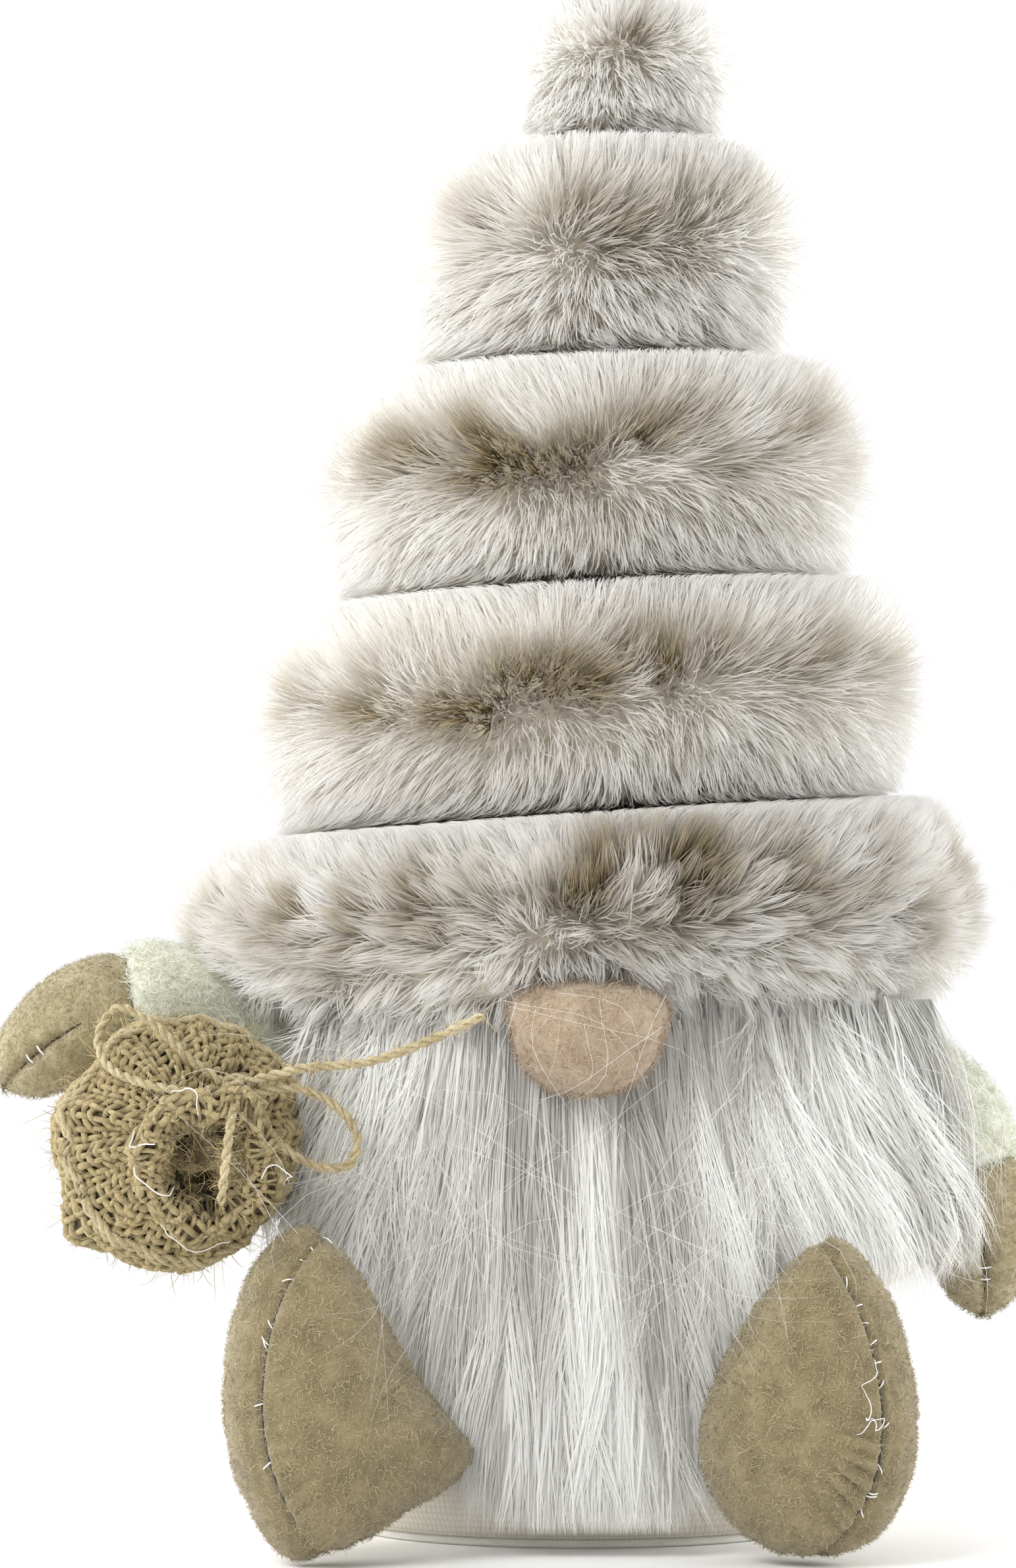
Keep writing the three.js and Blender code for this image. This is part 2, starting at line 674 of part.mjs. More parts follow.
function buildLeg(boot) {
  const place = bootPlace(boot);
  const { name, side } = boot;
  add(`boot_${name}_inner_panel`, warp(turned(panelProfile(1), sides), place), khakiFelt);
  add(`boot_${name}_outer_panel`, warp(turned(panelProfile(-1), sides), place), khakiFelt);
  const share = 1 - (feltWall + 3 * gap) / bootMeanRadius;
  const core = cushionProfile(share, bootHalfDepth - feltWall - 2 * gap);
  add(`boot_${name}_stuffing`, warp(turned(core, sides), place), stuffingColour);
  const around = warp(turned(cushionProfile(1 + gap / 20, bootHalfDepth + gap), sides), place);
  const start = hip(side);
  const end = new THREE.Vector3(boot.middle[0] - side * 7, -bootForward + 4, hipHeight + 3);
  const line = new THREE.LineCurve3(start, end);
  const length = start.distanceTo(end);
  const dome = [30, 60, 90].map((degrees) => {
    const angle = THREE.MathUtils.degToRad(degrees);
    return [legRadius * Math.sin(angle), -legRadius * Math.cos(angle)];
  });
  const tube = [[0, -legRadius], ...dome, [legRadius, length]];
  const cover = bent(turned([...tube, ...inset(tube, feltWall).reverse()], smallSides), line);
  add(`leg_${name}_cover`, cut(cover, around), khakiFelt);
  const filling = bent(turned([...inset(tube, feltWall + gap), [0, length]], coreSides), line);
  add(`leg_${name}_stuffing`, cut(filling, around), stuffingColour);
}

// Sack: a stuffed cloth bag, drawn in at its neck, with its folded mouth to the front
const sackLine = path([-89, -18.5, 87.5], [-87, -43.5, 87], [-82, -66, 88], [-79.6, -77, 81]);

// The stitches that hang the sack from the sleeve, between the two nearest walls
function buildStitch() {
  const bellyShare = 0.43;
  const sleeveShare = 0.33;
  const from = armLeft.line.getPointAt(sleeveShare);
  const to = sackLine.getPointAt(bellyShare);
  const line = new THREE.LineCurve3(from, to);
  const length = line.getLength() - wristRadius - sackRadius - 2 * gap;
  const thread = new THREE.CylinderGeometry(stitchRadius, stitchRadius, length, 8);
  thread.rotateX(Math.PI / 2).translate(0, 0, wristRadius + gap + length / 2);
  add('sack_stitch', bent(thread, line), whiteThread, 0.8);
}

function buildSack() {
  const reach = sackLine.getLength();
  const neck = reach - neckBack;
  const belly = neck * 0.52;
  const outer = [
    ...smooth([
      [0, 0], [sackRadius * 0.62, belly * 0.2], [sackRadius * 0.95, belly * 0.62], [sackRadius, belly],
      [sackRadius * 0.88, belly * 1.42], [sackNeckRadius * 1.7, neck - 5], [sackNeckRadius, neck],
    ], 9),
    [sackNeckRadius, neck + 2], [sackNeckRadius + 2.5, neck + 5.5], [sackMouthRadius, reach - 1.5],
    [sackMouthRadius + 1, reach],
  ];
  const folds = (p) => {
    const open = THREE.MathUtils.smoothstep(p.z, neck, reach);
    const turn = Math.atan2(p.y, p.x);
    const wave = 1 + 0.15 * open * Math.cos(mouthFolds * turn);
    return p.set(p.x * wave, p.y * wave, p.z + 2 * open * Math.sin(mouthFolds * turn));
  };
  const cloth = turned([...outer, ...inset(outer, clothWall).reverse()], sackSides);
  add('sack_cloth', bent(warp(cloth, folds), sackLine), burlap);
  const filling = inset(outer, clothWall + 5 * gap).filter(([, h]) => h < neck - 1);
  add('sack_stuffing', bent(turned([...filling, [0, filling[filling.length - 1][1]]], sackSides), sackLine),
    stuffingColour);
  const tie = new THREE.TorusGeometry(sackNeckRadius + 3 * gap + twineRadius, twineRadius, 5, 20);
  tie.translate(0, 0, neck + 1);
  add('neck_tie', bent(tie, sackLine), twine);
}

// Twine: a knot on the neck tie, two loops and two ends
const knot = new THREE.Vector3(-72.6, -69.5, 98.4);
const bowRoutes = {
  bow_loop_left: [
    [-75.7, -70.6, 100.3], [-82.5, -69.8, 105], [-90.5, -66.5, 112.4], [-98.3, -61.5, 115.4],
    [-102.3, -59.5, 109.6], [-100.4, -62.5, 103.8], [-93.2, -68.5, 100.2], [-83.5, -73, 98.4],
    [-75.5, -71.9, 97.8],
  ],
  bow_loop_right: [
    [-69, -70.1, 97.8], [-60, -71.5, 98.9], [-51.7, -69, 94.9], [-47.6, -67, 88.5], [-49.1, -67, 83],
    [-54.3, -68.5, 82.2], [-60, -71, 84.6], [-66, -73.8, 90], [-70.7, -72.1, 96.1],
  ],
  bow_tail_long: [
    [-70.3, -71.9, 100.3], [-58.5, -74.5, 103.2], [-45, -76.8, 104.6], [-32.5, -78.6, 108.9],
    [-21, -79.8, 114.3],
  ],
  bow_tail_short: [
    [-72.4, -73.3, 97.5], [-72.4, -82.5, 96.2], [-73, -88, 91], [-73.8, -88.6, 84.5], [-74.8, -88, 75.5],
  ],
};

function buildBow() {
  const ball = turned(ballProfile(knotRadius, 6), 10);
  add('bow_knot', ball.translate(knot.x, knot.y, knot.z), twine);
  const section = new THREE.Shape(new THREE.Path().absarc(0, 0, twineRadius, 0, 2 * Math.PI).getPoints(2)
    .slice(0, 8));
  for (const [name, points] of Object.entries(bowRoutes)) {
    const curve = path(...points);
    const steps = Math.round(curve.getLength() / (5 * twineRadius));
    add(name, new THREE.ExtrudeGeometry(section, { steps, bevelEnabled: false, extrudePath: curve }), twine);
  }
}

buildBody();
buildBeard();
buildNose();
buildBrim();
for (const index of seams.keys()) buildSeamThread(index);
for (const [index, wide] of tierRadii.entries()) {
  buildTier(`hat_tier_${index + 2}`, seams[index], seams[index + 1], wide, tierTwist[index]);
}
buildTip();
buildArm(armLeft);
buildArm(armRight);
buildLeg(bootLeft);
buildLeg(bootRight);
buildSack();
buildStitch();
buildBow();

export default group;
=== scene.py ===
# %% [markdown]
# # A sitting gnome in fur, felt and burlap
#
# The real thing is a stuffed ornament that sits on a shelf. Its stepped hat is white
# and taupe fake fur, its beard is long straight hair, its nose, sleeves, mittens and
# boots are wool felt, and a small burlap sack hangs from one arm, tied with jute twine.
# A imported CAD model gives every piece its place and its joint. This script dresses that
# model: each soft solid is replaced by a surface that has the cloth, the threads and
# the hairs of the real piece.
#
# Shapes are worked out in millimetres as whole numpy arrays and become metres only when
# they enter a mesh.

import math

import bpy
import numpy as np
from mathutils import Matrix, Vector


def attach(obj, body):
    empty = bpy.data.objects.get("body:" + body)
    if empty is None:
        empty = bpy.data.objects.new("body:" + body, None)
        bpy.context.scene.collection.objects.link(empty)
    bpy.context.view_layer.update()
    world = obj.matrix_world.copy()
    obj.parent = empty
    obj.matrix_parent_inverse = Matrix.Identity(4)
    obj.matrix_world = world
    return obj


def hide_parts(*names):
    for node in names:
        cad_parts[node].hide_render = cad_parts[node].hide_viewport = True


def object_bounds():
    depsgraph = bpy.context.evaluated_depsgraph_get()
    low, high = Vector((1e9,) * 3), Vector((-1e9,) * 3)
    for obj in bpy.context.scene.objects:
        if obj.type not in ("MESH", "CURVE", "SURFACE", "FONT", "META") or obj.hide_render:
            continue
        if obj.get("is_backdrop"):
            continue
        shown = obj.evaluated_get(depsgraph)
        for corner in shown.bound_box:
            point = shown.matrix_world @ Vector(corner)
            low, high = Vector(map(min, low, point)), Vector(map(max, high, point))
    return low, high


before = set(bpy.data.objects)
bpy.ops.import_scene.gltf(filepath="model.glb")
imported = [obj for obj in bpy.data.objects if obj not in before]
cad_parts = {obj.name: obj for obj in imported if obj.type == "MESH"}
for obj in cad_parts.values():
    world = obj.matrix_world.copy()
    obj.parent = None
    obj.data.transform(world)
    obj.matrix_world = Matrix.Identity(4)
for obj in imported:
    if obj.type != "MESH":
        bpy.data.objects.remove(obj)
cad_low, cad_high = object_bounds()
MM, TURN = 0.001, 2 * math.pi
print("CAD box in mm:", [round(v / MM) for v in (*cad_low, *cad_high)])

# %% [markdown]
# ## Camera
#
# The object was photographed from the front, from a little below the middle and from
# about a metre away. A camera needs three things: where it stands, where it looks, and
# how much it takes in. The last one is a lens length: the long side of the picture is
# 36 mm wide on the sensor, and it covers 350 mm at the object.

# %% Camera
eye = np.array((-16.0, -1100.0, 130.0))
aim = np.array((-16.0, 0.0, 164.6))
picture_height = 350.0
sensor = 36.0

camera = bpy.data.objects.new("camera", bpy.data.cameras.new("camera"))
bpy.context.scene.collection.objects.link(camera)
bpy.context.scene.camera = camera
sight = aim - eye
camera.location = eye * MM
camera.rotation_euler = (math.pi / 2 + math.atan2(sight[2], sight[1]), 0, 0)
camera.data.sensor_width = sensor
camera.data.lens = sensor * np.linalg.norm(sight) / picture_height
camera.data.clip_start = 0.01
print("lens in mm:", round(camera.data.lens, 1))

# %% [markdown]
# ## Small helpers
#
# A new piece is a set of points and faces. Making the mesh from whole arrays is fast and
# keeps every shape a plain formula. The helpers here turn arrays into objects, put each
# one on its CAD body, and name what it stands for.

# %% Arrays to objects
def points_of(mesh):
    """The points of a mesh in metres."""
    points = np.empty(len(mesh.vertices) * 3, np.float32)
    mesh.vertices.foreach_get("co", points)
    return points.reshape(-1, 3)


def unit(vectors):
    """Each vector divided by its length."""
    return vectors / np.maximum(np.linalg.norm(vectors, axis=-1, keepdims=True), 1e-9)


def new_piece(name, points, faces, material, tint=None, normals=None):
    """A mesh object from points in millimetres and a list of face arrays."""
    mesh = bpy.data.meshes.new(name)
    corners = np.concatenate([part.ravel() for part in faces]).astype(np.int32)
    sizes = np.concatenate([np.full(len(part), part.shape[1]) for part in faces])
    mesh.vertices.add(len(points))
    mesh.vertices.foreach_set("co", (points * MM).astype(np.float32).ravel())
    mesh.loops.add(len(corners))
    mesh.loops.foreach_set("vertex_index", corners)
    mesh.polygons.add(len(sizes))
    starts = np.concatenate(([0], np.cumsum(sizes)[:-1])).astype(np.int32)
    mesh.polygons.foreach_set("loop_start", starts)
    mesh.polygons.foreach_set("use_smooth", np.ones(len(sizes), bool))
    mesh.update(calc_edges=True)
    if tint is not None:
        colour = mesh.color_attributes.new("tint", "FLOAT_COLOR", "POINT")
        rgba = np.ones((len(points), 4), np.float32)
        rgba[:, :3] = tint
        colour.data.foreach_set("color", rgba.ravel())
    if normals is not None:
        mesh.normals_split_custom_set_from_vertices(normals.astype(np.float32))
    mesh.materials.append(material)
    piece = bpy.data.objects.new(name, mesh)
    bpy.context.scene.collection.objects.link(piece)
    return piece


def place(piece, body, slot, *nodes):
    """The piece rides on a body and stands for CAD nodes. The slot is not used."""
    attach(piece, body)
    if nodes:
        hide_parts(*nodes)
    return piece


def grid_faces(rows, columns, around=True):
    """Four-sided faces over a grid of rows by columns, closed round its columns."""
    last = columns if around else columns - 1
    row, column = np.meshgrid(np.arange(rows - 1), np.arange(last), indexing="ij")
    step = (column + 1) % columns
    low, high = row * columns, (row + 1) * columns
    return np.stack((low + column, low + step, high + step, high + column), -1).reshape(-1, 4)


def linear(code):
    """An sRGB colour such as "#c9ac8f" as linear red, green and blue."""
    value = np.array([int(code[i : i + 2], 16) for i in (1, 3, 5)]) / 255
    return np.where(value <= 0.04045, value / 12.92, ((value + 0.055) / 1.055) ** 2.4)


def mixed(first, second, share):
    """A blend of two colours or vectors by a share from 0 to 1."""
    share = np.asarray(share)[..., None]
    return first + (second - first) * share


print("helpers ready")

# %% [markdown]
# Hair, fur and cloth never repeat exactly. A sum of a few waves with set directions makes
# a smooth value that wanders through space, the same on each run.

# %% Wandering values
def wander(points, size, seed):
    """A smooth value from about -1 to 1: the mean of eight sine waves about size mm long."""
    rng = np.random.default_rng(seed)
    waves = unit(rng.normal(size=(8, 3))) * (TURN / size) * rng.uniform(0.6, 1.5, (8, 1))
    phase = rng.uniform(0, TURN, 8)
    return np.sin(points @ waves.T + phase).sum(-1) / 3.2


def wander_3d(points, size, seed):
    """A smooth vector whose three parts wander, each with a seed of its own."""
    return np.stack([wander(points, size, seed + i) for i in range(3)], -1)


def hump(value, width):
    """1 where the value is 0, falling to both sides as exp(-(value / width)²)."""
    return np.exp(-((value / width) ** 2))


def smoothstep(value, low, high):
    """0 below low, 1 above high, and a smooth rise between."""
    share = np.clip((value - low) / (high - low), 0, 1)
    return share * share * (3 - 2 * share)


def distances(line):
    """How far along a line of points each of its points lies."""
    return np.concatenate(([0], np.cumsum(np.linalg.norm(np.diff(line, axis=0), axis=1))))


def looked_up(at, run, values):
    """Each column of values, a table whose rows lie at run, read at other places."""
    return np.stack([np.interp(at, run, column) for column in values.T], -1)


def smooth_line(points, count):
    """A line through the given points, evenly spaced: a centripetal Catmull-Rom curve,
    in which the knots are as far apart as the square roots of the distances."""
    points = np.asarray(points, float)
    ends = (2 * points[:1] - points[1:2], 2 * points[-1:] - points[-2:-1])
    p = np.concatenate((ends[0], points, ends[1]))
    gaps = np.linalg.norm(np.diff(p, axis=0), axis=1)
    knots = np.concatenate(([0], np.cumsum(gaps**0.5)))
    fine = np.linspace(knots[1], knots[-2], 60 * len(points))
    i = np.clip(np.searchsorted(knots, fine, side="right") - 1, 1, len(points) - 1)
    k = [knots[i + step] for step in (-1, 0, 1, 2)]
    q = [p[i + step] for step in (-1, 0, 1, 2)]

    def between(a, b, ta, tb):
        return a + (b - a) * ((fine - ta) / (tb - ta))[:, None]

    a1, a2, a3 = (between(q[j], q[j + 1], k[j], k[j + 1]) for j in range(3))
    b1, b2 = between(a1, a2, k[0], k[2]), between(a2, a3, k[1], k[3])
    line = between(b1, b2, k[1], k[2])
    run = distances(line)
    return looked_up(np.linspace(0, run[-1], count), run, line)


def line_length(line):
    """The length of a line of points."""
    return float(np.linalg.norm(np.diff(line, axis=0), axis=1).sum())


print("a wave value:", round(float(wander(np.zeros((1, 3)), 10, 1)[0]), 3))

# %% [markdown]
# ## Materials
#
# One small function adds a node with its settings and its links. Each material begins
# with what the real one is, and its pattern sizes are in millimetres: Object coordinates
# are in metres, so a noise that repeats every 2 mm has a scale of 1 / 0.002.

# %% Node helper
def node(tree, kind, settings=None, **links):
    """Adds a node. Settings are its properties, and links are its inputs: a value, or a
    (node, output) pair. Spaces in an input's name are written as underscores."""
    made = tree.nodes.new(kind)
    for key, value in (settings or {}).items():
        setattr(made, key, value)
    for key, value in links.items():
        numbered = key[0] == "i" and key[1:].isdigit()
        socket = made.inputs[int(key[1:]) if numbered else key.replace("_", " ")]
        if isinstance(value, tuple) and len(value) == 2 and hasattr(value[0], "outputs"):
            tree.links.new(value[0].outputs[value[1]], socket)
        else:
            socket.default_value = value
    return made


def new_material(name):
    """An empty material with its node tree."""
    material = bpy.data.materials.new(name)
    material.use_nodes = True
    material.node_tree.nodes.clear()
    return material, material.node_tree


def rgba(code):
    """A hex colour as the four numbers of a colour socket."""
    return (*linear(code), 1.0)


def noise(tree, size, detail, **links):
    """Noise in Object coordinates that repeats about every size mm."""
    where = node(tree, "ShaderNodeTexCoord")
    return node(tree, "ShaderNodeTexNoise", Vector=(where, "Object"), Scale=1 / (size * MM),
                Detail=detail, **links)


def added(tree, first, share, second):
    """The sum of a first value times a share and a second value."""
    return node(tree, "ShaderNodeMath", {"operation": "MULTIPLY_ADD"},
                i0=first, i1=share, i2=second)


def ramp(tree, value, low, dark, high, pale):
    """Colours by value: dark up to low, pale from high on, and a blend between."""
    made = node(tree, "ShaderNodeValToRGB", i0=value)
    for element, position, code in zip(made.color_ramp.elements, (low, high), (dark, pale)):
        element.position, element.color = position, rgba(code)
    return made


def finish(tree, colour, roughness, specular, height, strength, depth, **more):
    """The surface: its colour, its shine and a relief of depth mm from a height value."""
    relief = node(tree, "ShaderNodeBump", Height=height, Strength=strength, Distance=depth * MM)
    surface = node(tree, "ShaderNodeBsdfPrincipled", Base_Color=colour, Roughness=roughness,
                   Specular_IOR_Level=specular, Normal=(relief, 0), **more)
    node(tree, "ShaderNodeOutputMaterial", Surface=(surface, 0))


def thread_material(name, colour, twist, strength, depth, roughness, specular, sheen):
    """A plain sewing thread: one colour, with a relief that repeats every twist mm."""
    material, tree = new_material(name)
    finish(tree, rgba(colour), roughness, specular, (noise(tree, twist, 2.0), "Fac"),
           strength, depth, Sheen_Weight=sheen)
    return material


print("material helpers ready")

# %% [markdown]
# ### Fibres
#
# Fake fur is soft acrylic pile, the beard is straight shiny polyester hair, felt is wool
# and the twine is jute. A fibre lets some light through, so a translucent part is mixed
# in. The colour along each fibre is in the mesh, because it changes from root to tip.

# %% Fibre materials
def fibre_material(name, roughness, specular, through):
    """A fibre that takes its colour from the mesh: a matt or shiny surface, mixed with a
    translucent part that stands for the light that comes through."""
    material, tree = new_material(name)
    tint = node(tree, "ShaderNodeAttribute", {"attribute_name": "tint"})
    surface = node(tree, "ShaderNodeBsdfPrincipled", Base_Color=(tint, "Color"),
                   Roughness=roughness, Specular_IOR_Level=specular)
    glow = node(tree, "ShaderNodeBsdfTranslucent", Color=(tint, "Color"))
    blend = node(tree, "ShaderNodeMixShader", i0=through, i1=(surface, 0), i2=(glow, 0))
    node(tree, "ShaderNodeOutputMaterial", Surface=(blend, 0))
    return material


acrylic_pile = fibre_material("acrylic_pile", 0.62, 0.25, 0.6)
polyester_hair = fibre_material("polyester_hair", 0.45, 0.35, 0.5)
wool_fibre = fibre_material("wool_fibre", 0.9, 0.15, 0.25)
jute_fibre = fibre_material("jute_fibre", 0.75, 0.25, 0.15)
print("fibre materials:", acrylic_pile.name, polyester_hair.name, wool_fibre.name, jute_fibre.name)

# %% [markdown]
# ### Cloth under the fibres
#
# Felt is a mat of wool with no weave: cloudy in colour, with a fine tangle on top that
# catches the light. The fur and the beard stand on a knitted backing. The fur's backing
# is painted a darker taupe grey, a painted shade for the dark between the roots, where
# little light gets; the beard's backing is pale.

# %% Felt and backing
def felt_material(name, pale, dark, cloud, tangle, depth):
    """Wool felt, pressed from loose fibres. Pale and dark colours mix in clouds and in a
    fine tangle, given in mm, and depth is the relief of the tangle in mm."""
    material, tree = new_material(name)
    clouds = noise(tree, cloud, 3.0, Roughness=0.55)
    fine = noise(tree, tangle, 4.0, Roughness=0.7, Distortion=1.2)
    both = added(tree, (fine, "Fac"), 0.55, (clouds, "Fac"))
    colour = ramp(tree, (both, 0), 0.5, dark, 1.0, pale)
    finish(tree, (colour, "Color"), 0.95, 0.15, (fine, "Fac"), 0.7, depth,
           Sheen_Weight=0.35, Sheen_Roughness=0.6)
    return material


khaki_felt = felt_material("khaki_wool_felt", "#978966", "#6b5f42", 6, 0.8, 0.35)
# The mittens have the boots' khaki felt painted lighter: a painted light for the light they catch.
mitten_felt_painted_lit = felt_material("khaki_wool_felt_painted_lit", "#b9ad8b", "#94886a", 6, 0.8, 0.3)
pale_felt = felt_material("pale_wool_felt", "#e9e9dc", "#d3d5bf", 7, 1.1, 0.5)
white_felt = felt_material("white_wool_felt", "#f1efe9", "#e4e1d9", 9, 1.1, 0.3)
nose_wool = felt_material("needle_felted_wool", "#b9a78f", "#9e8a72", 6, 1.0, 0.4)
# The fur's backing is painted a darker taupe grey: a painted shade for the dark between the roots.
fur_backing_painted_shade = felt_material("knitted_fur_backing", "#d8d1c4", "#b5ac9a", 12, 1.5, 0.4)
hair_backing = felt_material("knitted_hair_backing", "#efede9", "#dcd9d4", 8, 1.5, 0.4)
print("felt materials:", khaki_felt.name, pale_felt.name, nose_wool.name)

# %% [markdown]
# ## Floor, world and lamps
#
# A pale floor and an even white world light the object softly from all sides, as in a
# product studio. Four large lamps, the strongest from the upper left, one from each
# side and a weak one from behind, add enough direction for the fur to show its depth.
# The world is plain white where the camera sees it, and the floor fades into it, but the
# floor keeps the shadow.

# %% Studio
bpy.context.scene.view_settings.view_transform = "Standard"
world = bpy.data.worlds.new("studio")
bpy.context.scene.world = world
world.use_nodes = True
world.node_tree.nodes.clear()
rays = node(world.node_tree, "ShaderNodeLightPath")
seen = node(world.node_tree, "ShaderNodeMath", {"operation": "MAXIMUM"},
            i0=(rays, "Is Camera Ray"), i1=(rays, "Is Glossy Ray"))
seen = node(world.node_tree, "ShaderNodeMath", {"operation": "MAXIMUM"},
            i0=(seen, 0), i1=(rays, "Is Transmission Ray"))
soft_level = 0.75
level = node(world.node_tree, "ShaderNodeMapRange", Value=(seen, 0), To_Min=soft_level, To_Max=1.0)
sky = node(world.node_tree, "ShaderNodeBackground", Color=(1, 1, 1, 1), Strength=(level, 0))
node(world.node_tree, "ShaderNodeOutputWorld", Surface=(sky, 0))


def lamp(name, position, size, watts):
    """A square area lamp at a position in mm that looks at the middle of the object."""
    data = bpy.data.lights.new(name, "AREA")
    data.size, data.energy = size * MM, watts
    light = bpy.data.objects.new(name, data)
    bpy.context.scene.collection.objects.link(light)
    light.location = np.array(position) * MM
    way = np.array((0, 0, 150)) - np.array(position)
    light.rotation_euler = (math.atan2(np.hypot(way[0], way[1]), -way[2]), 0,
                            math.atan2(way[1], way[0]) - math.pi / 2)
    return light


lamp("key_lamp", (-600, -900, 900), 600, 9.5)
lamp("left_lamp", (-1000, 150, 450), 800, 8.5)
lamp("right_lamp", (1000, 150, 450), 800, 8.3)
lamp("back_lamp", (0, 900, 1000), 700, 2.5)

floor_paint, tree = new_material("white_studio_floor")
where = node(tree, "ShaderNodeTexCoord")
ring = node(tree, "ShaderNodeVectorMath", {"operation": "LENGTH"}, i0=(where, "Object"))
far = node(tree, "ShaderNodeMapRange", {"interpolation_type": "SMOOTHSTEP"},
           Value=(ring, "Value"), From_Min=0.16, From_Max=0.55)
rays = node(tree, "ShaderNodeLightPath")
fade = node(tree, "ShaderNodeMath", {"operation": "MULTIPLY"},
            i0=(far, 0), i1=(rays, "Is Camera Ray"))
paint = node(tree, "ShaderNodeBsdfDiffuse", Color=rgba("#fbfbfa"))
white = node(tree, "ShaderNodeEmission", Color=(1, 1, 1, 1), Strength=1.0)
blend = node(tree, "ShaderNodeMixShader", i0=(fade, 0), i1=(paint, 0), i2=(white, 0))
node(tree, "ShaderNodeOutputMaterial", Surface=(blend, 0))

floor_size = 6000
corner = np.array(((-1, -1, 0), (1, -1, 0), (1, 1, 0), (-1, 1, 0))) * floor_size
floor = new_piece("floor", corner.astype(float), [np.array([[0, 1, 2, 3]])], floor_paint)
floor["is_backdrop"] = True
print("studio ready")

# %% [markdown]
# ## Strands
#
# Every hair here is a thin ribbon that narrows to its tip: five triangles are enough for
# a short one. A ribbon is flat, so its two edges get normals that lean outwards, which
# makes it shade like a round fibre. The normals also lean towards the skin's own, so that
# a whole patch of fur shades as one soft form.

# %% Ribbons
def strands(name, path, width, facing, tint, material, body_normal=None, round_off=0.5, soft=0.5,
            point=0.85):
    """Ribbons along path, an array of strands by levels by three. The ribbon's width
    runs along (tip - root) × facing and narrows by a share, point, before its tip. A
    ribbon that would show its back to the outside is turned round."""
    count, levels, _ = path.shape
    tangent = unit(np.gradient(path, axis=1))
    across = np.broadcast_to(unit(np.cross(path[:, -1:] - path[:, :1], facing)), path.shape)
    if body_normal is not None:
        facing_out = (np.cross(across, tangent) * body_normal).sum((1, 2), keepdims=True)
        across = across * np.where(facing_out < 0, -1, 1)
    front = unit(np.cross(across, tangent))
    if body_normal is not None:
        front = unit(front + body_normal * soft / (1 - soft))
    taper = 1 - np.linspace(0, 1, levels) ** 2.5 * point
    half = across * (0.5 * width[:, None] * taper)[..., None]
    left, right = (path - half)[:, :-1], (path + half)[:, :-1]
    pairs = np.stack((left, right), 2).reshape(count, -1, 3)
    points = np.concatenate((pairs, path[:, -1:]), 1).reshape(-1, 3)
    lean = across[:, :-1] * round_off
    edges = np.stack((front[:, :-1] - lean, front[:, :-1] + lean), 2).reshape(count, -1, 3)
    normals = unit(np.concatenate((edges, front[:, -1:]), 1)).reshape(-1, 3)
    colour = np.concatenate((np.repeat(tint[:, :-1], 2, axis=1), tint[:, -1:]), 1).reshape(-1, 3)
    each = 2 * (levels - 1) + 1
    first = (np.arange(count) * each)[:, None]
    step = 2 * np.arange(levels - 2)[None]
    quads = np.stack((first + step, first + step + 1, first + step + 3, first + step + 2), -1)
    ends = np.stack((first + each - 3, first + each - 2, first + each - 1), -1)
    return new_piece(name, points, [quads.reshape(-1, 4), ends.reshape(-1, 3)], material,
                     colour, normals)


def plain_tint(first, second, share, levels):
    """One blend of two colours for each strand, the same from its root to its tip."""
    return np.repeat(mixed(first, second, share)[:, None], levels, 1)


def growth(root, start, finish, length, levels):
    """Curved strands: the direction turns evenly from start at the root to finish at the
    tip, so the point at share s is root + length (start (s - s²/2) + finish s²/2)."""
    share = np.linspace(0, 1, levels)[None, :, None]
    reach = start[:, None] * (share - share**2 / 2) + finish[:, None] * share**2 / 2
    return root[:, None] + reach * length[:, None, None]


def scattered(shape, count, rng, weight):
    """Random places (u, v) on a surface, even in area. Cells of a grid are drawn in
    proportion to their area times a weight, and each draw lands anywhere in its cell."""
    rows, columns = 90, 180
    u, v = np.meshgrid(np.arange(columns + 1) / columns, np.arange(rows + 1) / rows)
    p = shape(u, v)
    area = np.linalg.norm(np.cross(p[1:, :-1] - p[:-1, :-1], p[:-1, 1:] - p[:-1, :-1]), axis=-1)
    area = area * weight(u[:-1, :-1] + 0.5 / columns, v[:-1, :-1] + 0.5 / rows)
    chance = np.cumsum(area.ravel()) / area.sum()
    cell = np.searchsorted(chance, rng.random(count))
    cell = np.minimum(cell, area.size - 1)
    return ((cell % columns + rng.random(count)) / columns,
            (cell // columns + rng.random(count)) / rows)


def skin_at(shape, u, v):
    """Points of a surface with their directions along u and their normals."""
    small = 1e-3
    low, high = np.clip(v - small, 0, 1), np.clip(v + small, 0, 1)
    along_u = unit(shape(u + small, v) - shape(u - small, v))
    along_v = unit(shape(u, high) - shape(u, low))
    return shape(u, v), along_u, unit(np.cross(along_u, along_v))


def outwards(shape, u, v):
    """The normals of a surface."""
    return skin_at(shape, u, v)[2]


print("strand helpers ready")
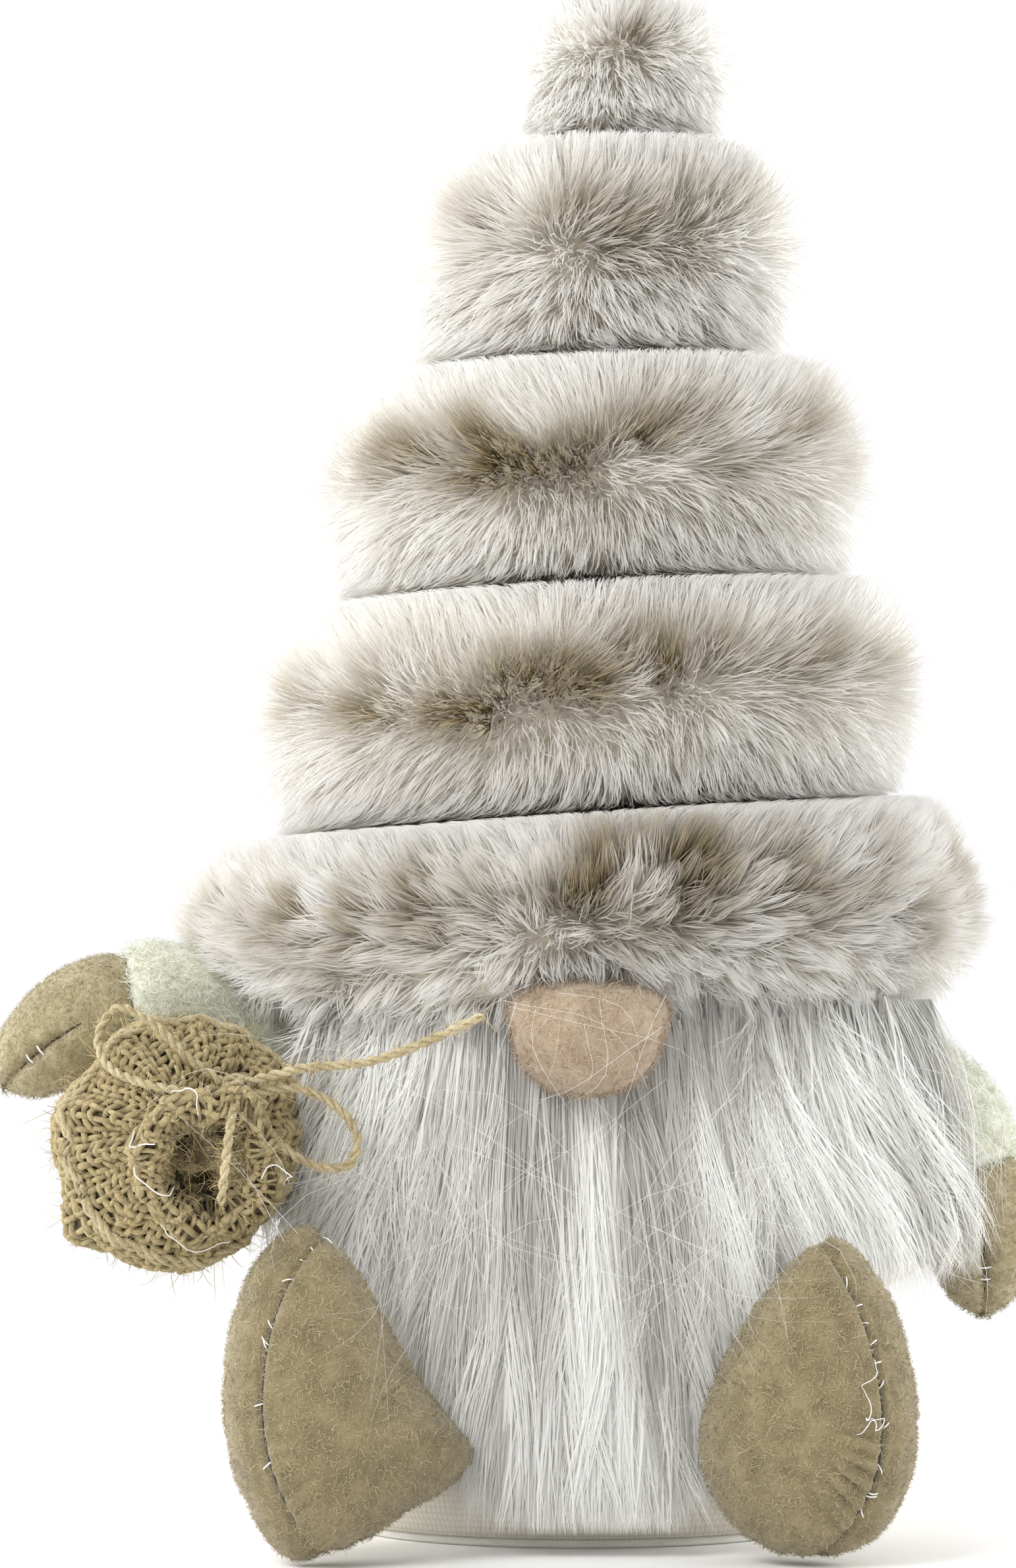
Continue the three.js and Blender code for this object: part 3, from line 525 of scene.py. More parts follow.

# %% [markdown]
# ## The twine
#
# The sack is tied with two-ply jute twine, 2 mm thick. Two plies are wound round the
# route of each loop and end, so the twist is real geometry. The routes are those of the
# CAD model. The real length of each loop and tail is printed.

# %% Tubes
def tubes(lines, radius, reference, sides, ring=False):
    """Round tubes along lines, an array of tubes by steps by three. At each step a circle
    stands on two directions: across = tangent × reference, and up = tangent × across."""
    count, steps, _ = lines.shape
    if ring:
        tangent = unit(np.roll(lines, -1, 1) - np.roll(lines, 1, 1))
    else:
        tangent = unit(np.gradient(lines, axis=1))
    across = unit(np.cross(tangent, reference))
    up = np.cross(tangent, across)
    angle = np.arange(sides) * TURN / sides
    circle = np.cos(angle)[:, None] * across[:, :, None] + np.sin(angle)[:, None] * up[:, :, None]
    points = lines[:, :, None] + circle * np.broadcast_to(radius, (count, steps))[..., None, None]
    rows = np.arange(steps + 1) % steps if ring else np.arange(steps)
    one = grid_faces(len(rows), sides)
    one = rows[one // sides] * sides + one % sides
    start = (np.arange(count) * steps * sides)[:, None, None]
    faces = [(one + start).reshape(-1, 4)]
    if not ring:
        circle = np.arange(sides)
        ends = np.stack((circle[::-1], circle + (steps - 1) * sides))
        faces.append((ends + start).reshape(-1, sides))
    return points.reshape(-1, 3), faces


def plies_on(line, reference, radius):
    """The middle lines of two plies wound round a line: each runs at about half the
    radius, turned by one full turn every pitch mm."""
    plies, pitch = 2, 6.0
    tangent = unit(np.gradient(line, axis=0))
    across = unit(np.cross(tangent, reference))
    up = np.cross(tangent, across)
    turn = TURN * (distances(line) / pitch + np.arange(plies)[:, None] / plies)
    return line + 0.48 * radius * (np.cos(turn)[..., None] * across + np.sin(turn)[..., None] * up)


def tube_piece(name, material, body, slot, lines, radius, reference, sides, **more):
    """Tubes along lines as one piece on a body. More holds a tint, or ring=True."""
    tint = more.pop("tint", None)
    points, faces = tubes(lines, radius, reference, sides, **more)
    return place(new_piece(name, points, faces, material, tint), body, slot)


print("tube helpers ready")

# %% Twine fibres and jute
jute, tree = new_material("twisted_jute")
streaks = noise(tree, 0.7, 4.0, Roughness=0.7, Distortion=1.5)
clouds = noise(tree, 9, 2.0)
both = added(tree, (clouds, "Fac"), 0.5, (streaks, "Fac"))
colour = ramp(tree, (both, 0), 0.5, "#86764f", 0.95, "#d6c8a4")
finish(tree, (colour, "Color"), 0.85, 0.25, (streaks, "Fac"), 0.8, 0.25, Sheen_Weight=0.2)

twine_radius = 1.0
knot = np.array((-72.6, -69.5, 98.4))
bow_routes = {
    "bow_loop_left": [
        (-75.7, -70.6, 100.3), (-82.5, -69.8, 105), (-90.5, -66.5, 112.4),
        (-98.3, -61.5, 115.4), (-102.3, -59.5, 109.6), (-100.4, -62.5, 103.8),
        (-93.2, -68.5, 100.2), (-83.5, -73, 98.4), (-75.5, -71.9, 97.8),
    ],
    "bow_loop_right": [
        (-69, -70.1, 97.8), (-60, -71.5, 98.9), (-51.7, -69, 94.9), (-47.6, -67, 88.5),
        (-49.1, -67, 83), (-54.3, -68.5, 82.2), (-60, -71, 84.6), (-66, -73.8, 90),
        (-70.7, -72.1, 96.1),
    ],
    "bow_tail_long": [
        (-70.3, -71.9, 100.3), (-58.5, -74.5, 103.2), (-45, -76.8, 104.6),
        (-32.5, -78.6, 108.9), (-21, -79.8, 114.3),
    ],
    "bow_tail_short": [
        (-72.4, -73.3, 97.5), (-72.4, -82.5, 96.2), (-73, -88, 91), (-73.8, -88.6, 84.5),
        (-74.8, -88, 75.5),
    ],
}
print("jute ready,", len(bow_routes), "twine routes")

# %% Bow
def fuzz_on(name, root, normal, count, seed, length, width, curl, slot, levels=4):
    """Loose jute fibres on the sack: they start along the surface's normal mixed with a
    random direction, and bend over towards another one. Curl says how much is random."""
    rng = np.random.default_rng(seed)
    pick = rng.integers(0, len(root), count)
    root, normal = root[pick], normal[pick]
    start = unit(normal + curl * rng.normal(size=(count, 3)))
    finish = unit(normal * 0.2 + rng.normal(size=(count, 3)))
    reach = length * rng.uniform(0.35, 1.3, count)
    path = growth(root, start, finish, reach, levels)
    facing = unit(rng.normal(size=(count, 1, 3)))
    tint = plain_tint(linear("#a18a58"), linear("#dccca0"), rng.random(count), levels)
    fibres = strands(name, path, width * rng.uniform(0.7, 1.3, count), facing, tint, jute_fibre)
    return place(fibres, "sack", slot)


def twine(name, line, reference, tapered=False):
    """Two plies of jute along a line, a piece on the sack that stands for the CAD node of
    that name. Each ply is 0.57 of the twine's radius thick, and a bare end tapers."""
    thickness = np.full(len(line), 0.57 * twine_radius)
    if tapered:
        thickness[-6:] *= np.linspace(1.0, 0.45, 6)
    plies = plies_on(line, reference, twine_radius)
    points, faces = tubes(plies, thickness, reference, 8)
    piece = place(new_piece(name + "_twine", points, faces, jute), "sack", "jute_twine", name)
    return piece, points


bow_skin = []
for name, route in bow_routes.items():
    reference = (1.0, 0, 0) if name == "bow_tail_short" else (0, 1.0, 0)
    line = smooth_line(route, round(line_length(smooth_line(route, 60)) / 0.45))
    length = line_length(line)
    loop = name.startswith("bow_loop")
    piece, points = twine(name, line, reference, tapered=not loop)
    bow_skin.append(points)
    print(name, "is", round(length, 1), "mm long")

# %% [markdown]
# ## The hat's shape
#
# The hat is a stack of stuffed rings of fake fur, pinched at each seam. Each ring is a
# profile turned round the hat's axis: it starts on the axis at the lower seam, swells
# out, and comes back to the axis at the upper seam. A seat then shifts and tilts it, so
# that each ring stands on the one below. The skin lies some way inside the outline,
# which the pile reaches.

# %% Turned skins
flatness = 0.85
hat_base, tier_height = 157.5, 50.0
seam_half = (62, 51, 37, 17.5)
seam_offset = (1.2, 2.5, 3.5, 8)
seam_slope = (4, 3, 2, 0)
seams = [(x, hat_base + i * tier_height, half, slope)
         for i, (x, half, slope) in enumerate(zip(seam_offset, seam_half, seam_slope))]


def turned(profile, seat, bump=0.0, size=30, seed=1):
    """A surface of u and v: the profile's radius and height at v, turned to the angle
    2πu, then seated. Bump swells the radius here and there by a share of it."""
    line = smooth_line(profile, 300)
    steps = np.linspace(0, 1, len(line))

    def shape(u, v):
        radius, height = (np.interp(v, steps, column) for column in line.T)
        angle = TURN * u
        round_ = np.stack((np.cos(angle), np.sin(angle), np.zeros_like(angle)), -1)
        if bump:
            at = round_ * radius[..., None] + height[..., None] * np.array((0, 0, 1))
            radius = radius * (1 + bump * wander(at, size, seed))
        across = round_ * radius[..., None] * np.array((1, flatness, 0))
        return seat(across + height[..., None] * np.array((0.0, 0, 1)))

    return shape


def tier_seat(low, high, twist):
    """Moves a ring onto its seam: its offset and slope change from the lower seam's to
    the upper seam's, with some more slope half way up."""
    span, band = high[1] - low[1], 6.0

    def seat(p):
        t = np.clip((p[..., 2] - band) / (span - 2 * band), 0, 1)
        slope = low[3] + (high[3] - low[3]) * t + twist * np.sin(math.pi * t) ** 2
        angle = np.radians(slope)
        x = low[0] + (high[0] - low[0]) * t + p[..., 0] * np.cos(angle)
        z = low[1] + p[..., 2] + p[..., 0] * np.sin(angle)
        return np.stack((x, p[..., 1], z), -1)

    return seat


def skin_piece(name, shape, rows, columns, material):
    """A closed skin over a surface whose first and last rows are points."""
    u, v = np.meshgrid(np.arange(columns) / columns, np.arange(1, rows) / rows)
    poles = shape(np.zeros(2), np.array((0.0, 1.0)))
    points = np.concatenate((shape(u, v).reshape(-1, 3), poles))
    low, high = len(points) - 2, len(points) - 1
    column = np.arange(columns)
    step = (column + 1) % columns
    top = (rows - 2) * columns
    fans = np.concatenate((
        np.stack((np.full(columns, low), step, column), -1),
        np.stack((top + column, top + step, np.full(columns, high)), -1),
    ))
    return new_piece(name, points, [grid_faces(rows - 1, columns), fans], material)


def filled_skin(name, shape, rows, columns, material, body, slot, fill, *nodes):
    """A closed skin that rides on a body and stands for CAD nodes. The share, fill, is not used."""
    skin = place(skin_piece(name, shape, rows, columns, material), body, slot, *nodes)
    return skin


def seam_height(seam):
    """The height of a seam's plane at points: it rises with x by the seam's slope."""
    rise = math.tan(math.radians(seam[3]))
    return lambda p: seam[1] + (p[:, 0] - seam[0]) * rise


print("seams at", [seam[1] for seam in seams])

# %% [markdown]
# ### The pile
#
# The pile is 15 mm long and stands out from its backing. In the upper half of a ring it
# combs upwards and in the lower half downwards, and beside a seam it points straight
# out, over the seam. Neighbouring hairs lean together into tufts. Each hair is browner at
# its root and painted darker there, a painted shade for the shadow deep in the pile, and
# right beside a seam it is painted dark brown, a painted shadow of the seam's groove. A
# taupe band runs round the upper part of each ring, in patches, and the rest is cream and
# white, with a painted shadow grey in the lower part.

# %% Pile on a skin
def tufted(path, size, pull, seed):
    """Hairs drawn together: the roots are sorted into small cells of space, wavy ones,
    and each hair leans towards the mean hair of its cell, more so at its tip."""
    root = path[:, 0]
    cell = np.floor((root + wander_3d(root, size * 2.5, seed) * size * 0.6) / size).astype(int)
    _, group = np.unique(cell, axis=0, return_inverse=True)
    group = group.ravel()
    amount = np.bincount(group)
    flat = path.reshape(len(path), -1)
    mean = np.stack([np.bincount(group, flat[:, i]) for i in range(flat.shape[1])], -1)
    middle = (mean / amount[:, None]).reshape(-1, *path.shape[1:])[group]
    share = np.linspace(0, 1, path.shape[1])[None, :, None] ** 1.5 * pull
    return path + (middle - path) * share


pile_white, pile_cream, pile_grey = linear("#fffefc"), linear("#fcf8f0"), linear("#e9e5de")
# The dark taupe is the band's root colour, darkened as painted shade, and the seam colour is a
# painted shadow of the seam's groove.
pile_taupe, pile_root_dye_and_shade, pile_seam_shadow = linear("#a89568"), linear("#67593a"), linear("#4f4433")


def pile_tint(root, band, grey, seam, levels, rng):
    """Colours from root to tip: the band's share of taupe, the grey share of shadow grey,
    which is painted shade, a root painted darker as shade, the painted shadow of a seam's
    groove in dark brown right beside a seam, and a lighter tip on each hair."""
    share = np.linspace(0, 1, levels)[None, :, None]
    # Painted shade: the root is darker than the middle. It takes the whole grey share and, in the
    # band, a darker brown.
    base = mixed(mixed(pile_cream, pile_grey, grey), pile_root_dye_and_shade, band)[:, None]
    middle = mixed(mixed(pile_white, pile_grey, grey * 0.6), pile_taupe, band)[:, None]
    pale_tip = pile_taupe + (pile_white - pile_taupe) * 0.4
    tip = mixed(pile_white, pale_tip, band)[:, None]
    colour = np.where(share < 0.5, base + (middle - base) * share * 2,
                      middle + (tip - middle) * (share * 2 - 1))
    # Painted shadow of the seam's groove: the hairs right beside a seam turn dark brown.
    colour = colour + (pile_seam_shadow - colour) * seam[:, None, None]
    return np.clip(colour * rng.uniform(0.9, 1.02, (len(root), 1, 1)), 0, 0.98)


def between_seams(path, low_z, high_z):
    """Keeps hairs out of the neighbouring rings: a height h within w mm of a seam becomes
    w exp(h/w - 1), so a tip comes close to the seam's plane but hardly crosses it. The
    width w differs from hair to hair, which leaves the edge ragged."""
    flat = path.reshape(-1, 3)
    w = np.repeat(np.random.default_rng(5).uniform(0.8, 3.2, len(path)), path.shape[1])
    for limit, sign in ((low_z, 1), (high_z, -1)):
        h = sign * (flat[:, 2] - limit(flat) + 0.5)
        flat[:, 2] += sign * (np.where(h < w, w * np.exp(np.minimum(h / w, 1) - 1), h) - h)
    return flat.reshape(path.shape)


pile_width, band_wide = 0.34, 0.12


def pile(name, shape, count, seed, length, low_z, high_z, spread, weight, bands,
         grey_share=1.0, ragged=0.0):
    """Pile on a hat ring between two heights. q is the share of the height: the comb
    direction is (2q - 1) upwards, and straight out from the axis next to a seam. Bands
    gives, at some values of x, the taupe band's height as q and its strength. Ragged is
    how loose, short and white the lowest hairs are."""
    rng = np.random.default_rng(seed)
    root, along_u, normal = skin_at(shape, *scattered(shape, count, rng, weight))
    low, high = low_z(root), high_z(root)
    q = np.clip((root[:, 2] - low) / (high - low), 0, 1)
    comb = np.clip((2 * q - 1) * 1.7, -1, 1)[:, None]
    out = unit(root * np.array((1, 1 / flatness, 0)) - np.array((4.0, 0, 0)))
    out[:, 2] = 0
    edge = smoothstep(np.abs(2 * q - 1), 0.55, 0.95)[:, None]
    loose = ragged * (1 - smoothstep(q, 0.33, 0.52))
    loose_column = loose[:, None]
    tuft = wander_3d(root, 7, seed + 20) * loose_column
    up = np.array((0, 0, 1.0))
    parting = spread * np.tanh(root[:, 0] / 18)
    sideways = along_u * (0.45 * wander(root, 34, seed) + parting)[:, None]
    start = unit(mixed(normal, out + 0.2 * comb * up, edge[:, 0] * 0.8) + 0.8 * tuft
                 + 0.22 * rng.normal(size=root.shape))
    finish = unit(mixed(normal * 0.5 + comb * up * 1.1, out + 0.35 * comb * up, edge[:, 0])
                  + sideways + 1.3 * tuft
                  + (0.2 + 0.3 * loose_column) * rng.normal(size=root.shape))
    apart = np.minimum(root[:, 2] - low, high - root[:, 2])
    # Beside a seam the hairs are shorter, and their colour takes the painted seam shadow.
    seam = hump(np.maximum(apart, 0), 1.5)
    reach = length * (1 - 0.3 * edge[:, 0]) * (1 - 0.35 * seam) * rng.uniform(0.74, 1.14, count)
    reach *= 1 - 0.25 * loose
    grown = tufted(growth(root, start, finish, reach, 4), 2.8 + 1.4 * ragged,
                   0.6 + 0.12 * ragged, seed)
    path = between_seams(grown, low_z, high_z)
    patches = np.interp(root[:, 0], bands[0], bands[2]) * (1.1 + 0.7 * wander(root, 15, seed + 5))
    from_band = (q - np.interp(root[:, 0], bands[0], bands[1])
                 - 0.06 * wander(root, 22, seed + 6)) / band_wide
    band = np.clip(np.exp(-(from_band**2)) * patches, 0, 1)
    low_roots = hump(q, 0.07) * 0.6 * (wander(root, 5, seed + 7) > 0.1)
    in_shade = hump(q - 0.3, 0.17) * (0.55 + 1.1 * wander(root, 16, seed + 9))
    grey = grey_share * np.clip(in_shade, 0, 1)
    low_roots, grey = low_roots * (1 - 0.6 * loose), grey * (1 - 0.8 * loose)
    tint = pile_tint(root, np.clip(band + low_roots, 0, 1), grey, seam, 4, rng)
    facing = unit(normal[:, None] + 0.5 * rng.normal(size=(count, 1, 3)))
    lit = unit(normal + loose_column * np.array((0, -0.8, 1.2)))[:, None]
    return strands(name, path, pile_width * rng.uniform(0.7, 1.25, count), facing, tint,
                   acrylic_pile, body_normal=lit, soft=0.5 + 0.15 * ragged)


print("pile helper ready")

# %% Rings of the hat
tier_radii = (71.6, 58.6, 40.4)
tier_twist = (3.5, 5, 6)
pile_rise, pile_length, seam_pinch = 8.0, 15.5, 0.82
tier_strands = (34500, 30000, 24000)
tier_bands = (
    ((-64, -46, -31, -16, 4, 27, 47, 67), (0.56, 0.54, 0.5, 0.54, 0.55, 0.57, 0.57, 0.56),
     (0.28, 0.6, 1.0, 0.85, 0.8, 0.55, 0.42, 0.3)),
    ((-49, -29, -16, 4, 22, 42, 57), (0.57, 0.57, 0.56, 0.5, 0.55, 0.6, 0.6),
     (0.3, 0.6, 1.1, 0.7, 0.5, 0.42, 0.3)),
    ((-29, -11, 7, 24, 42), (0.56, 0.56, 0.55, 0.57, 0.57), (0.2, 0.4, 0.5, 0.3, 0.2)),
)
for i, (wide, twist, count) in enumerate(zip(tier_radii, tier_twist, tier_strands)):
    low, high, name = seams[i], seams[i + 1], f"hat_tier_{i + 2}"
    rise = high[1] - low[1]
    w, l, t = wide - pile_rise, low[2] * seam_pinch, high[2] * seam_pinch
    profile = [
        (0, 0.6), (l, 0.6), (l + (w - l) * 0.6, rise * 0.1), (w, rise * 0.36),
        (w * 0.975, rise * 0.6), (t + (w - t) * 0.62, rise * 0.83),
        (t + (w - t) * 0.15, rise * 0.965), (t, rise - 0.6), (0, rise - 0.6),
    ]
    shape = turned(profile, tier_seat(low, high, twist), bump=0.012, seed=20 + i)
    filled_skin(name + "_backing", shape, 56, 96, fur_backing_painted_shade, name, "hat_fur", 0.8,
                name + "_fur", name + "_stuffing")

    def outside(u, v):
        """1 where the skin is outside the seams' edges, else 0."""
        p = shape(u, v)
        radius = np.hypot(p[..., 0] - low[0], p[..., 1] / flatness)
        upper = p[..., 2] > (low[1] + high[1]) / 2
        return (radius > np.where(upper, t, l) * 0.97).astype(float)

    fur = pile(name + "_pile", shape, count, 30 + i, pile_length, seam_height(low),
               seam_height(high), spread=0.25, weight=outside, bands=tier_bands[i])
    place(fur, name, "hat_fur")
    print(name, "has", count, "hairs")

# %% [markdown]
# ### Brim and tip
#
# The brim is a thick roll of the same fur round the head. It is one ring too, but its
# lower edge is drawn up over the nose and sags a little on both sides of it, and its
# pile parts above the nose and combs outwards to both sides. The tip is a small stuffed
# bag with two blunt corners.

# %% Brim
brim_low, brim_pile_low = 114.0, 102.0
nose_half_width = 17.1
first = seams[0]


def brim_seat(p):
    """Lifts the front of the lower edge over the nose and lets it sag beside it, more on
    the left than on the right, and tilts the top to the first seam's slope."""
    t = np.clip((p[..., 2] - brim_low) / (first[1] - 6 - brim_low), 0, 1)
    radius = np.hypot(p[..., 0], p[..., 1] / flatness)
    front = np.maximum(-p[..., 1] / flatness / np.maximum(radius, 1), 0)
    outer = smoothstep(radius, 50, 78)
    near = hump(p[..., 0], nose_half_width) * front
    right = smoothstep(p[..., 0], 8, 34) * (1 - smoothstep(p[..., 0], 66, 84)) * front
    left = smoothstep(-p[..., 0], 6, 26) * (1 - smoothstep(-p[..., 0], 58, 84)) * front
    lift = (5.5 * near - 2.5 * front * (1 - near) + 5 * right - 5 * left) * outer * (1 - t)
    slope = np.radians(first[3] * t**2)
    x = first[0] * t**2 + p[..., 0] * np.cos(slope)
    return np.stack((x, p[..., 1], p[..., 2] + lift + p[..., 0] * np.sin(slope)), -1)


seam_radius = first[2] * seam_pinch
brim_profile = [
    (0, 151), (40, 148), (56, 136), (58, 124), (61, 120.5), (68, 119.2), (75, 123),
    (79.2, 132), (77, 143), (68, 150.5), (seam_radius + 4, 155.6), (seam_radius, 156.8), (0, 156.8),
]
brim_shape = turned(brim_profile, brim_seat, bump=0.02, size=45, seed=24)
filled_skin("hat_brim_backing", brim_shape, 80, 120, fur_backing_painted_shade, "root", "hat_fur", 0.7,
            "hat_brim_fur", "brim_padding")


def brim_outside(u, v):
    """1 on the part of the brim that has pile: from the opening's edge to the seam."""
    p = brim_shape(u, v)
    radius = np.hypot(p[..., 0], p[..., 1] / flatness)
    grown = np.where(v < 0.5, (radius > 56.5) & (p[..., 2] < 133), radius > seam_radius * 0.97)
    return grown.astype(float)


brim_bands = ((-79, -64, -46, -29, -11, 9, 19, 32, 52, 72, 84),
              (0.6, 0.6, 0.6, 0.62, 0.62, 0.74, 0.75, 0.65, 0.62, 0.62, 0.6),
              (0.3, 0.35, 0.6, 0.5, 0.35, 1.1, 0.7, 0.35, 0.45, 0.4, 0.3))
brim_halves = (("front", lambda u, v: brim_outside(u, v) * (np.sin(TURN * u) < 0), 39000),
               ("back", lambda u, v: brim_outside(u, v) * (np.sin(TURN * u) >= 0), 29500))
for i, (half, weight, count) in enumerate(brim_halves):
    fur = pile("hat_brim_pile_" + half, brim_shape, count, 50 + i, pile_length,
               lambda p: np.full(len(p), brim_pile_low), seam_height(first),
               spread=0.75, weight=weight, bands=brim_bands, grey_share=0.3, ragged=1.0)
    place(fur, "root", "hat_fur")
print("brim has", sum(part[2] for part in brim_halves), "hairs")

# %% Tip
last = seams[-1]
tip_height = 32.0


def tip_seat(p):
    """Leans the tip to the right by 3 mm and lowers its top between two blunt corners."""
    t = np.clip(p[..., 2] / tip_height, 0, 1)
    x = last[0] + 3 * t + p[..., 0] * (1 + 0.06 * t)
    dip = 2.5 * hump(p[..., 0] - 5, 5) - 1.8 * hump(p[..., 0] + 8, 6)
    return np.stack((x, p[..., 1], last[1] + p[..., 2] - dip * t**4), -1)


edge = last[2] * seam_pinch
tip_profile = [(0, 0.6), (edge, 0.6), (edge + 1, 3.5), (15.4, 9), (16.3, 15), (16, 20.6),
               (12.6, 24.6), (6, 25.6), (0, 25.4)]
tip_shape = turned(tip_profile, tip_seat, bump=0.03, size=20, seed=27)
filled_skin("hat_tip_backing", tip_shape, 36, 64, fur_backing_painted_shade, "hat_tip", "hat_fur", 0.8,
            "hat_tip_fur", "hat_tip_stuffing")
tip_fur = pile("hat_tip_pile", tip_shape, 11000, 61, 11.5, seam_height(last),
               lambda p: np.full(len(p), last[1] + 44), spread=0.1, grey_share=0.1,
               weight=lambda u, v: (v > 0.25).astype(float),
               bands=((0, 8, 12, 17, 30), (0.5, 0.5, 0.52, 0.5, 0.5), (0, 0.08, 0.42, 0.08, 0)))
place(tip_fur, "hat_tip", "hat_fur")
print("tip ready")

# %% Seam threads
def dress(name, material):
    """Gives a material to a CAD node that is shown as it is."""
    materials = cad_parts[name].data.materials
    materials.clear()
    materials.append(material)


seam_yarn = thread_material("waxed_polyester_thread", "#5d5344", 0.8, 0.6, 0.15, 0.7, 0.3, 0.0)
for i in range(1, 5):
    dress(f"seam_thread_{i}", seam_yarn)
print("seam threads have", seam_yarn.name)

# %% [markdown]
# ## The beard
#
# The beard is a fringe of long, straight, shiny hair that hangs from under the brim over
# the round front of the body. It fans out at the sides, narrows between the boots and
# ends just above the floor. A thin dense layer lies under the strands, so that the body
# never shows. The hairs gather into locks, and some stray ones cross over everything.

# %% Beard surface
beard_top = 119.0
hair_depth, beard_widest = 9.0, 62
beard_edges = np.array([
    (8.5, -21, 25), (26, -21.5, 25), (34, -24, 27), (41, -32, 34), (48, -43, 47),
    (54, -54, 62), (62, -64, 79), (75, -64, 77), (88, -61.5, 71), (100, -59, 67.5), (114, -57, 65),
])
body_profile = np.array([(2.3, 53), (10.6, 56.5), (48, 60), (80, 58.5), (112, 55), (132, 48.4),
                         (150, 20)])


def beard_relief(x, z):
    """From -1 on a lock's crown to 1 in the hollow beside it: a wandering value that is
    stretched six times along the hair, and slants outwards on both sides."""
    slant = x * (1 - 0.0035 * (beard_top - z))
    return wander(np.stack((slant, 0 * slant, z / 6 + 0 * slant), -1), 17, 71)


def beard_front(x, z):
    """How far forward the hair's face is: the body's radius and the hair's depth, on an
    oval that is flatter than it is wide."""
    radius = np.interp(np.maximum(z, 48), *body_profile.T)
    front = flatness * (radius + 2.1) + hair_depth
    relief = 1.6 * beard_relief(x, z) * smoothstep(z, 15, 50)
    return -front * np.sqrt(np.clip(1 - (x / 88) ** 2, 0.05, 1)) + relief


def beard_ends(share):
    """How low the hair hangs at a share from -1, left, to 1, right."""
    spots = (-1.0, -0.86, -0.62, -0.42, -0.34, -0.2, 0.2, 0.3, 0.38, 0.55, 0.8, 1.0)
    levels = (64, 58, 47, 36, 14, 5, 5, 13, 34, 46, 52, 58)
    return np.interp(share, spots, levels)


def beard_point(share, down):
    """A place in the beard: share across, and down from 0 at the top to 1 at the end.
    It keeps its share of the width, so the hair fans out as the beard widens."""
    z = beard_top + (beard_ends(share) - beard_top) * down
    edges = looked_up(z, beard_edges[:, 0], beard_edges[:, 1:])
    full = looked_up(np.maximum(z, beard_widest), beard_edges[:, 0], beard_edges[:, 1:])
    wide = np.where(share < 0, -full[..., 0], full[..., 1]) * share
    narrow = np.where(share < 0, -edges[..., 0], edges[..., 1]) * np.sign(share)
    x = np.where(share < 0, np.maximum(wide, narrow), np.minimum(wide, narrow))
    return np.stack((x, beard_front(x, z), z), -1)


print("beard from", beard_top, "mm down to", beard_ends(0.0), "mm")

# %% Beard layer
rows, columns = 46, 72
share, down = np.meshgrid(np.linspace(-0.97, 0.97, columns), np.linspace(0.965, 0, rows))
face = beard_point(share, down)
face[..., 1] += 0.9 + 0.3 * wander(face * np.array((1, 1, 0.12)), 9, 70)
back = face.copy()
back[..., 1] += np.minimum(5.0, 1.2 + 5 * (1 - share**4))
grid = np.concatenate((face.reshape(-1, 3), back.reshape(-1, 3)))
front_faces = grid_faces(rows, columns, around=False)
size = rows * columns
inner = front_faces[:, ::-1] + size
low_row, high_row = np.arange(columns), size - columns + np.arange(columns)
left_side, right_side = np.arange(rows) * columns, np.arange(rows) * columns + columns - 1


def wall(line):
    """Faces that join a line of the front to the same line of the back."""
    return np.stack((line[:-1], line[1:], line[1:] + size, line[:-1] + size), -1)


rim = np.concatenate((wall(low_row)[:, ::-1], wall(high_row), wall(left_side),
                      wall(right_side)[:, ::-1]))
layer = new_piece("beard_layer", grid, [front_faces, inner, rim], hair_backing)
place(layer, "root", "beard_hair", "beard_hair", "beard_backing")
print("beard layer has", len(grid), "points")

# %% Beard hair
hair_white, hair_silver, hair_shadow = linear("#fcfcfa"), linear("#c6c3bd"), linear("#a5a19a")


def hair(name, path, width, tint, point, rng):
    """Beard hair from paths: it faces as the body under it does, and a little upwards."""
    count, levels, _ = path.shape
    normal = unit(unit(path * np.array((1, 1 / flatness**2, 0))) + np.array((0, 0, 0.45)))
    facing = unit(normal[:, levels // 2, None] + 0.22 * rng.normal(size=(count, 1, 3)))
    piece = strands(name, path, width * rng.uniform(0.6, 1.3, count), facing, tint,
                    polyester_hair, body_normal=normal, soft=0.72, round_off=0.3, point=point)
    return place(piece, "root", "beard_hair")


hair_levels = 7


